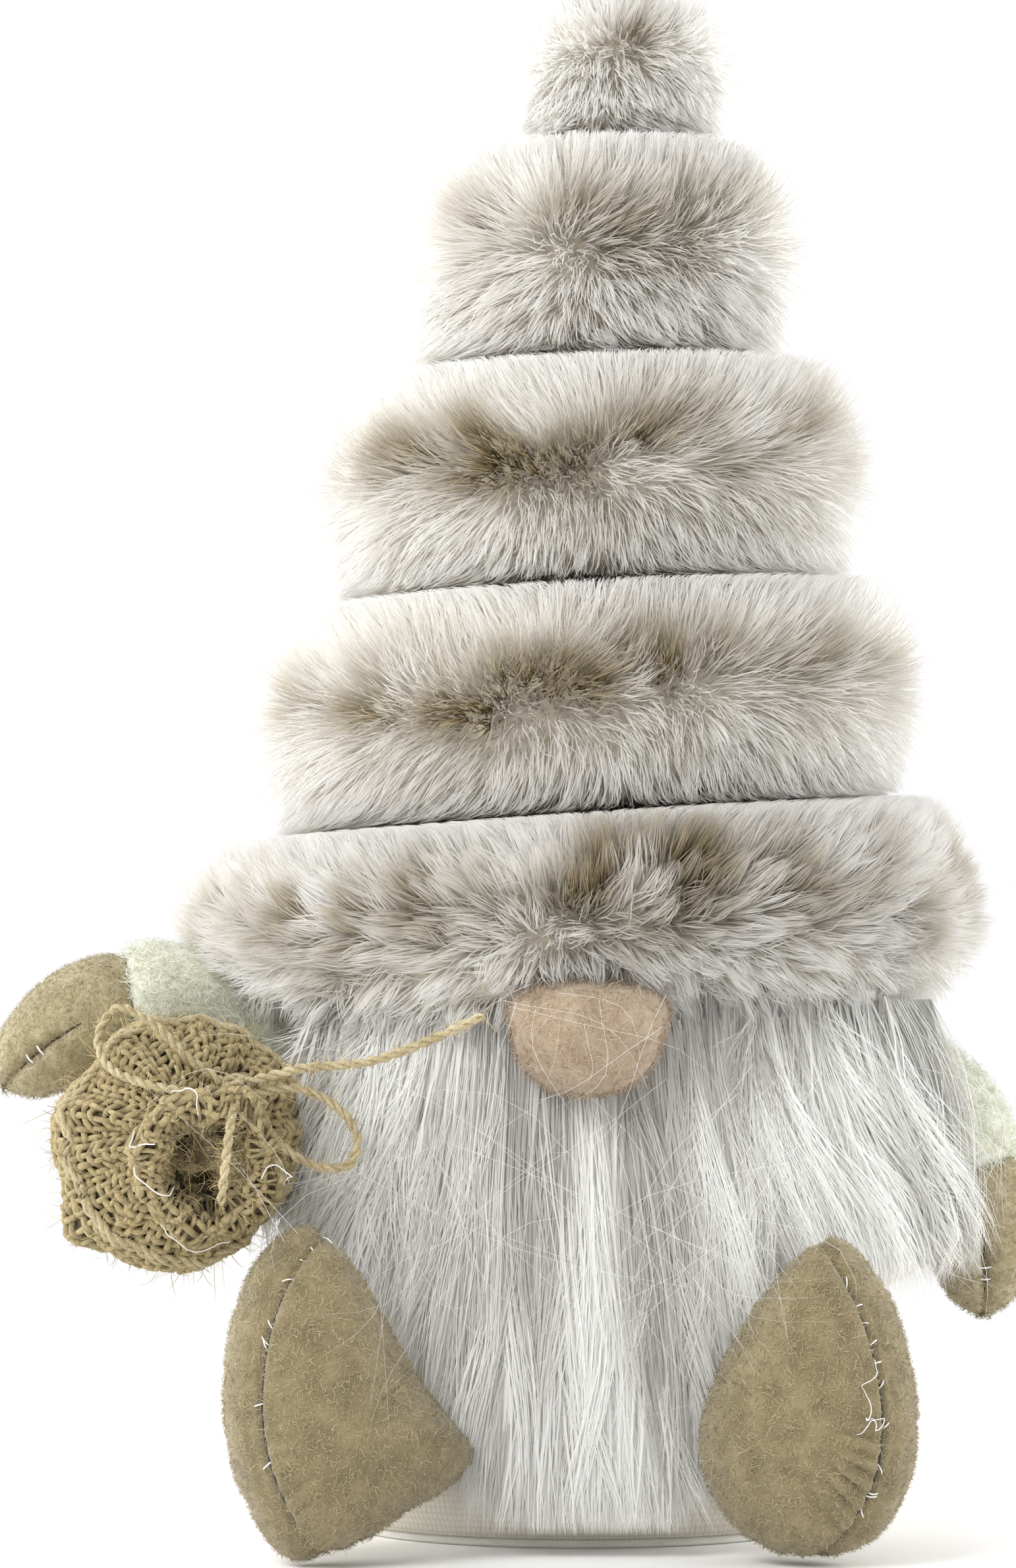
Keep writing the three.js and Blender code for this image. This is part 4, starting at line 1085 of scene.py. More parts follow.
def locks(name, lock_count, each, seed, width, spread, stray, drift, depth, point=0.4):
    """Hanging hair in locks. A lock starts somewhere on the face and follows it down to
    its own end, swaying. Its hairs lie round its middle line, half way down furthest
    from it, and meet at its tip. Stray is how far it sways and drift how far its end goes
    sideways, and depth is how far a lock may stand in front of the face."""
    rng = np.random.default_rng(seed)
    lock_share = np.sort(rng.uniform(-1.0, 1.0, lock_count))
    lock_start = rng.beta(0.5, 1.5, lock_count) * 0.6
    lock_end = np.minimum(lock_start + rng.uniform(0.5, 1.4, lock_count), 1.0)
    lock_depth = depth * rng.random(lock_count) ** 1.5
    sway = rng.uniform(0, TURN, (3, lock_count))
    bend = rng.normal(0, 1, lock_count)
    shade = np.clip(rng.normal(0.12, 0.45, lock_count), 0, 1)
    pick = np.repeat(np.arange(lock_count), each)
    count = len(pick)
    t = np.linspace(0, 1, hair_levels)[None]
    begin = lock_start[pick] + 0.1 * rng.random(count)
    outer_part = smoothstep(np.abs(lock_share[pick]), 0.35, 0.6)
    ragged = rng.random(count) ** (3 - 1.4 * outer_part)
    finish = lock_end[pick] - (0.06 + 0.34 * outer_part) * ragged
    down = begin[:, None] + (finish - begin)[:, None] * t
    share = np.broadcast_to(lock_share[pick, None], down.shape)
    path = beard_point(share, down)
    wave = np.sin(3.4 * t + sway[0][pick, None]) - np.sin(sway[0][pick, None])
    own = rng.normal(0, 1, (2, count, 1))
    sideways = (drift * bend + 2.5 * lock_share)[pick, None]
    path[..., 0] += stray * (0.25 + t) * wave + sideways * t**1.5
    path[..., 0] += 1.1 * own[0] * t**1.5 + 0.5 * own[1] * np.sin(TURN * t)
    angle, ring = rng.uniform(0, TURN, count), spread * np.sqrt(rng.random(count))
    open_ = 0.35 + 0.65 * np.sin(math.pi * np.clip(t * 1.05, 0, 1)) ** 0.8
    path[..., 0] += (ring * np.cos(angle))[:, None] * open_ * (1.15 - 0.4 * t)
    forward = lock_depth[pick, None] * np.sin(math.pi * np.clip(t * 0.9 + 0.08, 0, 1))
    path[..., 1] -= forward + (0.45 * ring * (1 + np.sin(angle)))[:, None] * open_
    path += 0.25 * rng.normal(size=(count, 1, 3)) * t[..., None]
    half_way = path[:, hair_levels // 2]
    hollow = beard_relief(half_way[:, 0], half_way[:, 2])
    # Painted shade: hairs in the hollows between locks are mixed towards silver. The rest of the
    # tone differs at random from lock to lock.
    tone = np.clip(shade[pick] + 0.5 * hollow + 0.15 * rng.normal(size=count), 0, 1)
    # Painted light: the lower beard is painted whiter, against the shade that the boots cast on it.
    tone *= 0.3 + 0.7 * smoothstep(half_way[:, 2], 30, 65)
    base = mixed(hair_white, hair_silver, tone)[:, None]
    under_brim, at_root = np.clip(1 - down * 4, 0, 1), np.clip(1 - t * 3, 0, 1)
    shaded = under_brim[..., None] * 0.15 + at_root[..., None] * 0.15
    tint = np.broadcast_to(base + (hair_shadow - base) * shaded, (count, hair_levels, 3))
    return hair(name, path, width, tint, point, rng)


locks("beard_hair_deep", 360, 31, 81, 0.62, 3.8, 1.6, 3.0, 0.5)


def wisps(name, count, seed, top, bottom, forward, width):
    """Loose hair beside the beard: from places along the top line to places along the
    bottom line, both given as two ends, each hair on its own slack curve."""
    rng = np.random.default_rng(seed)
    top, bottom = np.array(top, float), np.array(bottom, float)
    a, b = rng.random((2, count, 1))
    b = np.clip(a + rng.normal(0, 0.18, (count, 1)), -0.05, 1.05)
    start, stop = top[0] + (top[1] - top[0]) * a, bottom[0] + (bottom[1] - bottom[0]) * b
    stop = stop + (start - stop) * 0.5 * rng.random((count, 1)) ** 1.8
    t = np.linspace(0, 1, hair_levels)[None, :, None]
    path = start[:, None] + (stop - start)[:, None] * t
    path[..., 0] += rng.normal(0, 3.2, (count, 1)) * np.sin(math.pi * t[..., 0])
    path[..., 1] -= forward * rng.random((count, 1)) * np.sin(math.pi * t[..., 0] * 0.8)
    path = tufted(path, 5, 0.55, seed)
    tone = np.clip(rng.normal(0.3, 0.3, count), 0, 1)
    tint = plain_tint(hair_white, hair_silver, tone, hair_levels)
    return hair(name, path, width, tint, 0.8, rng)


wisps("beard_wisps_right", 1050, 85, [(56, -44, 117), (76, -31, 117)],
      [(71, -37, 46), (89, -32, 50)], 2.5, 0.24)
locks("beard_hair_outer", 340, 40, 82, 0.24, 2.8, 3.0, 6.0, 3.6, point=0.75)
print("beard hair ready")

# %% [markdown]
# ## Felt pieces
#
# The nose is wool that was needled into a ball. The sleeves, mittens, legs and boots are
# cut from felt, sewn and stuffed. Felt has no weave, so its surface is a mat of fine
# loose fibres: short ones stand up all over, and they soften every outline.

# %% Places on a mesh
def spots_on(piece, count, seed):
    """Random places on a mesh, even in area: a triangle is drawn in proportion to its
    area, and two random shares place the spot inside it. Gives points and normals in mm."""
    mesh = piece.data
    mesh.calc_loop_triangles()
    triangle = np.empty(len(mesh.loop_triangles) * 3, np.int32)
    mesh.loop_triangles.foreach_get("vertices", triangle)
    corner = (points_of(mesh) / MM)[triangle.reshape(-1, 3)]
    cross = np.cross(corner[:, 1] - corner[:, 0], corner[:, 2] - corner[:, 0])
    area = np.linalg.norm(cross, axis=1)
    rng = np.random.default_rng(seed)
    pick = np.searchsorted(np.cumsum(area) / area.sum(), rng.random(count))
    pick = np.minimum(pick, len(area) - 1)
    a, b = rng.random((2, count, 1))
    a, b = np.where(a + b > 1, 1 - a, a), np.where(a + b > 1, 1 - b, b)
    c = corner[pick]
    return c[:, 0] * (1 - a - b) + c[:, 1] * a + c[:, 2] * b, unit(cross[pick])


def stuffed(piece, sewn, swell=0.01, cap=1.2, pressure=3000.0):
    """Blender's cloth fills a felt piece: its edges want to be longer by a share, swell,
    a pressure pushes from inside, and the points of its seam, sewn, stay. Each point
    then moves by at most cap mm. The force grows with a face's area, so these small
    faces, a millimetre wide, need a high pressure."""
    mesh, scene = piece.data, bpy.context.scene
    before = points_of(mesh)
    group = piece.vertex_groups.new(name="sewn")
    group.add(np.flatnonzero(sewn(before / MM)).tolist(), 1.0, "REPLACE")
    modifier = piece.modifiers.new("cloth", "CLOTH")
    cloth = modifier.settings
    cloth.quality, cloth.mass = 5, 0.15
    cloth.tension_stiffness = cloth.compression_stiffness = 15
    cloth.shear_stiffness, cloth.bending_stiffness = 5, 0.1
    cloth.vertex_group_mass = "sewn"
    cloth.shrink_min = -swell
    cloth.use_pressure, cloth.uniform_pressure_force = True, pressure
    cloth.effector_weights.gravity = 0
    modifier.collision_settings.use_collision = False
    for frame_number in range(1, 21):
        scene.frame_set(frame_number)
    shown = piece.evaluated_get(bpy.context.evaluated_depsgraph_get())
    move = points_of(shown.data) - before
    size = np.linalg.norm(move, axis=1, keepdims=True)
    size = np.where(np.isfinite(size), size, 0)
    move = np.where(size > 0, move, 0) * np.minimum(1, cap * MM / np.maximum(size, 1e-9))
    piece.modifiers.remove(modifier)
    piece.vertex_groups.remove(group)
    mesh.vertices.foreach_set("co", (before + move).ravel())
    mesh.update()
    scene.frame_set(1)
    furthest = float(np.linalg.norm(move, axis=1).max() / MM)
    print(piece.name, "swelled by up to", round(furthest, 2), "mm")


def felt_fuzz(name, piece, count, seed, length, width, curl, colours, body, slot, levels=3,
              coil=0.0):
    """Loose wool fibres all over a felt piece. Coil is the radius in mm of a loose turn
    that each fibre makes on its way."""
    root, normal = spots_on(piece, count, seed)
    rng = np.random.default_rng(seed + 1)
    side = unit(np.cross(normal, rng.normal(size=root.shape)))
    start = unit(normal + curl * side)
    other_side = np.cross(normal, side)
    finish = unit(side * rng.uniform(-1, 1, (count, 1)) + 0.9 * other_side + normal * 0.05)
    path = growth(root, start, finish, length * rng.uniform(0.4, 1.25, count), levels)
    if coil:
        turn = np.linspace(0, 1.3 * math.pi, levels) * rng.uniform(0.6, 1.4, (count, 1))
        bend = other_side[:, None] * np.sin(turn)[..., None]
        path += coil * rng.uniform(0.4, 1.4, (count, 1, 1)) * (
            bend + (normal * 0.5 + side)[:, None] * (1 - np.cos(turn))[..., None] * 0.6)
    share = np.clip(rng.normal(0.5, 0.3, count), 0, 1)
    tint = plain_tint(linear(colours[0]), linear(colours[1]), share, levels)
    facing = unit(normal[:, None] + 0.3 * rng.normal(size=(count, 1, 3)))
    fuzz = strands(name, path, width * rng.uniform(0.6, 1.3, count), facing, tint,
                   wool_fibre, body_normal=normal[:, None], soft=0.5)
    return place(fuzz, body, slot)


def near_ends(p, first_end, second_end, reach):
    """Which points lie within reach mm of one of two places."""
    return np.minimum(np.linalg.norm(p - first_end, axis=1),
                      np.linalg.norm(p - second_end, axis=1)) < reach


print("felt helpers ready")

# %% Nose
nose_middle = np.array((0.6, -64.0, 111.0))


def nose_seat(p):
    """Moves the nose to its place, and dents it a little here and there."""
    dent = 0.35 * wander(p, 14, 90)[..., None] * unit(p)
    return (p + dent) * np.array((1.0, 15 / 16.9 / flatness, 1)) + nose_middle


nose_profile = [(0, -13.6), (7, -12.6), (11.2, -9.6), (14.2, -4.8), (16, 0.4), (16.5, 4.2),
                (14.4, 7.4), (8, 9), (0, 9.4)]
nose = filled_skin("nose", turned(nose_profile, nose_seat), 48, 72, nose_wool, "root",
                   "nose_felt", 0.9, "nose_felt", "nose_filling")
stuffed(nose, lambda p: p[:, 1] > -62, cap=0.8)
felt_fuzz("nose_fuzz", nose, 5200, 91, 3.0, 0.13, 1.8, ("#b49c82", "#d6c5b1"), "root", "nose_felt",
          levels=5, coil=0.7)
print("nose ready")

# %% [markdown]
# ### Arms
#
# Each arm is a sleeve of pale green-white felt and a khaki mitten, sewn together at the
# wrist and stuffed. Both follow one line, so they are profiles carried along a path. The
# mitten has a seam along its front and back, drawn in by a few white stitches.

# %% Profiles along a line
def carrier(line, reference):
    """Takes a distance along a line and shifts across it and up from it to a place.
    Across = reference × tangent, and up = tangent × across."""
    run, tangent = distances(line), unit(np.gradient(line, axis=0))
    across = unit(np.cross(reference, tangent))
    up = np.cross(tangent, across)

    def carry(along, shift, rise):
        inside = np.clip(along, 0, run[-1])
        middle, ahead, side, top = (looked_up(inside, run, v) for v in (line, tangent, across, up))
        return (middle + ahead * (along - inside)[..., None]
                + side * shift[..., None] + top * rise[..., None])

    return carry


def carried(line, profile, reference, depth=1.0, fold=None):
    """A surface of u and v: the profile's radius and distance along the line at v, at the
    angle 2πu, with the radius upwards multiplied by depth."""
    carry, steps = carrier(line, reference), np.linspace(0, 1, len(profile))

    def shape(u, v):
        radius, along = (np.interp(v, steps, column) for column in profile.T)
        angle = TURN * u
        if fold is not None:
            radius, along = fold(radius, along, angle)
        return carry(along, radius * np.cos(angle), radius * depth * np.sin(angle))

    return shape


def white_stitches(name, first_side, second_side, lift, body, radius=0.2):
    """Short white threads over a seam: from each point on one side to its partner on the
    other, lifted a little in the middle."""
    share = np.linspace(0, 1, 6)[None, :, None]
    line = first_side[:, None] * (1 - share) + second_side[:, None] * share
    line = line + lift[:, None] * np.sin(math.pi * share)
    return tube_piece(name, white_cotton, body, "white_thread", line, radius,
                      unit(lift)[:, None], 6)


white_cotton = thread_material("white_cotton_thread", "#f4f1ee", 0.5, 0.5, 0.1, 0.8, 0.25, 0.3)
# A dark felt for the seam grooves of the mittens and boots: a painted shadow.
seam_shadow = felt_material("painted_seam_shadow", "#3d3423", "#2b2417", 4, 0.7, 0.2)
khaki_fuzz = ("#9c8e6b", "#c9bf9f")
arms = {
    "left": (0.52, [
        (-62.469, -12, 107), (-75, -13, 111.5), (-88, -15, 115.5), (-99, -16, 115),
        (-107, -16.7, 112.5), (-114, -17.5, 108.5), (-121, -18.3, 103), (-127, -19, 97),
    ]),
    "right": (0.53, [
        (62.469, -12, 107), (70.5, -12.5, 101.5), (79, -13, 92), (84, -14, 79.5),
        (86.3, -14.4, 71), (87.6, -15, 62), (88, -15.4, 54), (88, -16, 47),
    ]),
}
y_axis, z_axis = np.array((0, 1.0, 0)), np.array((0, 0, 1.0))


def soft_folds(radius, along, angle):
    """A sleeve's shallow folds: the radius changes by 1.5% in three waves round it."""
    return radius * (1 + 0.015 * np.sin(3 * angle + along / 5)), along


shoulder_radius, wrist_radius, arm_steps, stitch_pitch = 8.0, 12.0, 160, 5
for i, (side, (wrist_share, route)) in enumerate(arms.items()):
    line = smooth_line(route, arm_steps)
    whole = line_length(line)
    wrist = whole * wrist_share
    body = "arm_" + side
    sleeve_profile = smooth_line([
        (0, -shoulder_radius), (5.6, -5.6), (shoulder_radius, 0), (10, wrist * 0.38),
        (wrist_radius, wrist * 0.7), (wrist_radius + 0.2, wrist - 2.4), (10.6, wrist - 0.2),
        (0, wrist - 0.2),
    ], 200)
    sleeve_shape = carried(line, sleeve_profile, y_axis, fold=soft_folds)
    sleeve = filled_skin(f"sleeve_{side}_felt", sleeve_shape, 60, 60, pale_felt, body,
                         "sleeve_felt", 0.8, "sleeve_" + side, f"sleeve_{side}_stuffing")
    joined = line[int(arm_steps * wrist_share)]
    stuffed(sleeve, lambda p: near_ends(p, line[0], joined, 13), swell=0.02)
    felt_fuzz(f"sleeve_{side}_fuzz", sleeve, 7500, 100 + i, 3.6, 0.15, 2.4,
              ("#c6c9b0", "#fbfbf4"), body, "sleeve_felt", levels=6, coil=1.3)

    hand = whole - wrist
    mitten_profile = smooth_line([
        (0, wrist + 0.2), (10.6, wrist + 0.2), (wrist_radius, wrist + 2.2),
        (wrist_radius + 0.5, wrist + hand * 0.3), (wrist_radius * 0.9, wrist + hand * 0.58),
        (6.6, wrist + hand * 0.87), (0, wrist + hand),
    ], 200)

    def seam_fold(radius, along, angle):
        """Draws the mitten in along its front and back seam, most near the tip, with
        small puckers 5 mm apart."""
        near = hump(np.cos(angle) * radius, 1.2)
        far = smoothstep(along, wrist + 0.3 * hand, wrist + 0.55 * hand)
        wide = hump(np.cos(angle) * radius, 3.5)
        pucker = 0.3 * wide * np.cos(TURN * along / stitch_pitch)
        return radius - far * (2.4 * near + pucker), along

    mitten_shape = carried(line, mitten_profile, y_axis, depth=0.92, fold=seam_fold)
    mitten = filled_skin(f"mitten_{side}_felt", mitten_shape, 80, 104, mitten_felt_painted_lit, body,
                         "khaki_felt", 0.85, f"mitten_{side}_top_panel",
                         f"mitten_{side}_palm_panel", f"mitten_{side}_stuffing")
    stuffed(mitten, lambda p: (np.linalg.norm(p - joined, axis=1) < 13)
            | (np.abs(np.cross(line[-1] - line[100], p - line[100])[:, 1]) < 60))
    felt_fuzz(f"mitten_{side}_fuzz", mitten, 9000, 104 + i, 2.4, 0.15, 1.6, khaki_fuzz, body,
              "khaki_felt")
    # A dark tube along each seam crease of the mitten: a painted shadow in its groove.
    v = np.linspace(0.46, 0.8, 60)
    creases = []
    for turn in (0.75, 0.25):
        u = np.full_like(v, turn)
        creases.append(mitten_shape(u, v) + outwards(mitten_shape, u + 0.015, v) * 0.05)
    tube_piece(f"mitten_{side}_seam_shadow_line", seam_shadow, body, "khaki_felt", np.array(creases),
               0.42 * np.sin(math.pi * np.linspace(0.04, 0.96, 60)) ** 0.5, (1.0, 0, 0), 6)
    for face, turn in (("front", 0.75), ("back", 0.25)):
        v = 0.3 + 0.6 * np.array((0.62, 0.72))
        u = np.full_like(v, turn)
        near = 1.3 / (TURN * 9)
        out = outwards(mitten_shape, u, v)
        white_stitches(f"mitten_{side}_{face}_stitches", mitten_shape(u - near, v) + out * 0.1,
                       mitten_shape(u + near, v) + out * 0.1, out * 0.5, body)
print("arms ready")

# %% [markdown]
# ### Legs and boots
#
# A boot is two felt panels, sewn together round their edge by hand and stuffed hard, so
# both sides crown. The seam lies in a groove with a ladder of white stitches 5 mm apart,
# and the felt puckers beside it, most at the heel. The boots stand on their heels with
# their toes up, turned outwards, on short felt legs.

# %% Boots
boot_half_depth, boot_half_width, boot_forward = 15.0, 28, 70.0
boot_turn = math.radians(25)
boots = {
    "left": (-1, (-50, 34), [
        (-57.5, 70.3), (-65.5, 64.5), (-70.6, 54), (-73, 40), (-72.6, 26), (-68.6, 12.5),
        (-60, 0.8), (-50, 2.5), (-39, 9.5), (-29, 16), (-25.5, 21.5), (-29, 27), (-36, 37),
        (-43, 50), (-50, 63),
    ]),
    "right": (1, (46, 33), [
        (50.5, 67.8), (42, 60.5), (34.5, 49), (28.5, 36), (26.5, 23), (29.5, 12), (37, 3.5),
        (48, 0.3), (58, 4.6), (64.6, 15), (66.8, 29), (64.8, 45), (59.5, 59),
    ]),
}


def boot_surface(side, middle, outline):
    """A surface of u and v: u runs round the outline and v from the outer panel's crown,
    over the seam at one half, to the inner panel's crown."""
    ends = np.array(outline[-3:] + outline + outline[:3], float) + np.array((0, 0.4))
    line = smooth_line(ends, 2000)
    start = np.argmin(np.linalg.norm(line[:900] - ends[3], axis=1))
    stop = 1000 + np.argmin(np.linalg.norm(line[1000:] - ends[3], axis=1))
    line = line[start : stop + 1]
    run = distances(line)
    girth = run[-1]
    fuller = 1.06 if side > 0 else 1.04

    def seam_v(u):
        """Where the seam runs: towards the viewer by the outer side, and away from the
        viewer by the inner side, as on a boot that is turned outwards."""
        x = np.interp((u % 1) * girth, run, line[:, 0])
        return 0.5 + 0.17 * np.tanh(side * (x - middle[0]) / 12)

    def shape(u, v):
        at = (u % 1) * girth
        x, z = (np.interp(at, run, column) for column in line.T)
        turn = math.pi * v
        reach = np.sin(turn) ** 0.82
        thick = -np.cos(turn) * boot_half_depth
        off = (v - seam_v(u)) * 2 * boot_half_depth * 1.5
        low = smoothstep(35 - z, 0, 10) * smoothstep(z, 1, 7)
        outer = smoothstep(side * (x - middle[0]), -4, 12)
        crease = 1 - np.abs(np.sin(math.pi * at / 5.6 + 0.9 * np.sin(at / 9)))
        fold = (0.4 + (3.8 if side > 0 else 1.2) * low * outer) * crease**1.4
        window = smoothstep(off, 0.6, 3) * hump(np.maximum(off - 5, 0), 5)
        pinch = 3.2 * hump(off, 1.3) + fold * window
        reach = reach * (1 - pinch / boot_half_width)
        x = middle[0] + (x - middle[0]) * reach * fuller
        z = middle[1] + (z - middle[1]) * reach
        along = (x - middle[0]) / math.cos(boot_turn)
        return np.stack((
            middle[0] + along * math.cos(boot_turn) - side * thick * math.sin(boot_turn),
            -boot_forward - side * along * math.sin(boot_turn) - thick * math.cos(boot_turn),
            z,
        ), -1)

    return shape, girth, seam_v


def seam_rows(shape, seam_v):
    """The same surface with its rows closer together near the seam."""
    def finer(u, v):
        t = 2 * v - 1
        near, seam = np.sign(t) * np.abs(t) ** 1.5, seam_v(u)
        return shape(u, seam + np.where(near > 0, 1 - seam, seam) * near)
    return finer


for i, (side, (sign, middle, outline)) in enumerate(boots.items()):
    shape, girth, seam_v = boot_surface(sign, middle, outline)
    body = "leg_" + side
    boot = filled_skin(f"boot_{side}_felt", seam_rows(shape, seam_v), 84, 170, khaki_felt, body,
                       "khaki_felt", 0.9, f"boot_{side}_inner_panel",
                       f"boot_{side}_outer_panel", f"boot_{side}_stuffing")
    edge_u = np.linspace(0, 1, 170, endpoint=False)
    edge = shape(edge_u, seam_v(edge_u))
    stuffed(boot, lambda p: np.linalg.norm(p[:, None] - edge[None], axis=2).min(1) < 2.2)
    felt_fuzz(f"boot_{side}_fuzz", boot, 17500, 120 + i, 2.2, 0.15, 1.6, khaki_fuzz, body,
              "khaki_felt")
    # A dark tube round the boot's seam groove: a painted shadow.
    around = np.linspace(0, 1, 400, endpoint=False)
    groove = (shape(around, seam_v(around))
              + outwards(shape, around, seam_v(around) + 0.03) * 0.1)
    tube_piece(f"boot_{side}_seam_shadow_line", seam_shadow, body, "khaki_felt", groove[None], 0.7,
               y_axis, 6, ring=True)
    count = int(girth / stitch_pitch)
    rng = np.random.default_rng(130 + i)
    u = (np.arange(count) + 0.5 * rng.random(count)) / count
    u = np.concatenate((u[rng.random(count) > 0.45], u[rng.random(count) > 0.8] + 0.8 / girth))
    off = rng.uniform(0.6, 1.0, len(u)) / (2 * boot_half_depth * 1.5)
    lift = unit(outwards(shape, u, seam_v(u) + 2 * off) + outwards(shape, u, seam_v(u) - 2 * off))
    slant = 0.9 * rng.normal(size=len(u)) / girth
    white_stitches(f"boot_{side}_stitches", shape(u - slant, seam_v(u) - off) + lift * 0.2,
                   shape(u + slant, seam_v(u) + off) + lift * 0.2, lift * 0.35, body, 0.15)

# A loose end of the sewing thread lies curled beside the right boot's seam
t = np.linspace(0, 1, 220)
u = 0.71 + 0.11 * t + 0.016 * (np.sin(7 * t + 1) + 0.6 * np.sin(19 * t))
v = seam_v(u) + 0.075 + 0.03 * (np.cos(9 * t) + 0.5 * np.sin(23 * t + 2))
lift = (0.5 + 0.5 * np.abs(np.sin(13 * t)))[:, None]
loose = shape(u, v) + outwards(shape, u, v) * lift
tube_piece("boot_right_thread_end", white_cotton, "leg_right", "white_thread", loose[None], 0.1,
           (0, 1.0, 0.2), 5)
print("boots ready")

# %% Legs
hip_turn, hip_radius, hip_height, leg_radius = math.radians(35), 57.5, 20.0, 9.0
for side, (sign, middle, _) in boots.items():
    start = np.array((sign * hip_radius * math.sin(hip_turn),
                      -hip_radius * flatness * math.cos(hip_turn), hip_height))
    stop = np.array((middle[0] - sign * 7, -boot_forward + 12, hip_height + 3))
    line = np.linspace(start, stop, 30)
    whole = line_length(line)
    profile = smooth_line([(0, 0), (6.5, 0.6), (leg_radius, 4), (leg_radius, whole - 4),
                           (6.5, whole - 0.6), (0, whole)], 120)
    leg = skin_piece(f"leg_{side}_felt", carried(line, profile, z_axis), 30, 40, khaki_felt)
    stuffed(leg, lambda p: near_ends(p, start, stop, 9.5), cap=1.0)
    place(leg, "leg_" + side, "khaki_felt", f"leg_{side}_cover", f"leg_{side}_stuffing")
print("legs ready")

# %% [markdown]
# ## Body and base
#
# The body is a plain cotton bag, filled and flat underneath, with a felt disc and a card
# disc under it that make the flat rest. Little of it shows, but from behind it does.

# %% Woven cotton
body_radius = 58


def woven_material(name, light, dark, spacing, relief_depth):
    """A plain weave round the body: one wave runs with the angle and one with the height,
    each with a thread's spacing, given in mm, and noise makes the threads uneven. The
    real cloth has two or three threads to a millimetre, which is too fine to show."""
    material, tree = new_material(name)

    def math_node(operation, *values):
        inputs = {f"i{i}": value for i, value in enumerate(values)}
        return node(tree, "ShaderNodeMath", {"operation": operation}, **inputs), 0

    where = node(tree, "ShaderNodeTexCoord")
    split = node(tree, "ShaderNodeSeparateXYZ", Vector=(where, "Object"))
    angle = math_node("ARCTAN2", (split, "Y"), (split, "X"))
    threads_round = float(round(body_radius * math.pi / spacing))
    waves = []
    for source, rate in ((angle, threads_round), ((split, "Z"), math.pi / (spacing * MM))):
        wave = math_node("SINE", math_node("MULTIPLY", source, rate))
        waves.append(math_node("ABSOLUTE", wave))
    both = added(tree, (noise(tree, 3, 3.0), "Fac"), 0.6, math_node("MULTIPLY", *waves))
    colour = ramp(tree, (both, 0), 0.0, dark, 1.0, light)
    finish(tree, (colour, "Color"), 0.9, 0.2, (both, 0), 0.5, relief_depth)
    return material


body_cotton = woven_material("plain_cotton_cloth", "#dad5c9", "#c6c0b2", 1.4, 0.12)
pale_card = felt_material("pale_card", "#e6e2da", "#d8d3c9", 12, 0.6, 0.05)
print("cloth materials:", body_cotton.name, pale_card.name)

# %% Body
cover_profile = [
    (0, 2.5), (44, 2.25), (52.5, 2.03), (53.5, 2.35), (53.8, 5), (58.6, 24), (60, 48),
    (58.4, 80), (55, 112), (48, 132), (33, 145), (12, 150), (0, 150.4),
]


def body_seat(p):
    """A few soft folds of the cotton, more near the base."""
    out = unit(p * np.array((1, 1, 0)))
    fold = 0.7 * wander(p * np.array((1, 1, 0.3)), 22, 140)[..., None]
    return p + out * fold * smoothstep(p[..., 2:], 3, 25)


cover = skin_piece("body_cloth_cover", turned(cover_profile, body_seat), 90, 120, body_cotton)
stuffed(cover, lambda p: (p[:, 2] < 6) | (p[:, 2] > 120), pressure=600.0)
place(cover, "root", "body_cloth", "body_cover", "body_stuffing", "pellet_bag")
base_profile = [(0, 0), (51, 0), (52.8, 0.3), (53, 1), (52.9, 1.9), (51, 2.1), (0, 2.05)]
base = skin_piece("base_felt_disc", turned(base_profile, lambda p: p), 40, 100, white_felt)
place(base, "root", "sleeve_felt", "base_felt")
dress("base_card", pale_card)
dress("sack_stitch", white_cotton)
print("body ready")

# %% [markdown]
# ## The sack
#
# A small bag of coarse jute sacking hangs from the left arm. Its cloth is woven from
# real threads: 68 run from the closed end, through the tied neck and over the folded
# mouth, and rings of thread pass over and under them, one thread apart.

# %% Sack shape
sack_line = smooth_line([(-89, -18.5, 87.5), (-87, -43.5, 87), (-81.6, -66, 89),
                         (-78.4, -77, 83.4)], 160)
sack_reach = line_length(sack_line)
sack_neck = sack_reach - 11
sack_radius = 26.0
belly = sack_neck * 0.52
sack_profile = smooth_line([
    (0, 0.2), (sack_radius * 0.62, belly * 0.2), (sack_radius * 0.95, belly * 0.62),
    (sack_radius, belly), (sack_radius * 0.9, belly * 1.42), (14.6, sack_neck - 4.6),
    (8.6, sack_neck - 0.3), (8.4, sack_neck + 1.8), (9.8, sack_neck + 4.4),
    (11.4, sack_reach - 4.7), (13.9, sack_reach - 3.6), (15.1, sack_reach - 0.6),
    (14.0, sack_reach + 2.1),
    (11.3, sack_reach + 2.4), (9.5, sack_reach + 0.3), (8.8, sack_reach - 3), (7.4, sack_neck + 4),
    (4, sack_neck + 2.4), (0, sack_neck + 1.9),
], 900)
sack_run = distances(sack_profile)
sack_girth = sack_run[-1]
sack_rim = sack_run[np.argmax(sack_profile[:, 1])]
sack_crease = sack_rim - 9.5
sack_mouth_folds = (98, 8, 212)
sack_pockets = ((5.2, 7.6), (-4.6, 2.2), (1.5, -6.6), (-6.2, -6.6))


def in_pocket(radius, angle):
    """1 in the middle of a pocket of the mouth, falling to 0 about 5 mm from it. A
    pocket's place is right and up from the mouth's middle, in mm."""
    x, y = radius * np.cos(angle), radius * np.sin(angle)
    return sum(np.exp(-((x - px) ** 2 + (y - py) ** 2) / 3.3**2) for px, py in sack_pockets)


def turned_from(angle, degrees):
    """How far an angle is from a direction given in degrees, between -π and π."""
    return np.angle(np.exp(1j * (angle - math.radians(degrees))))


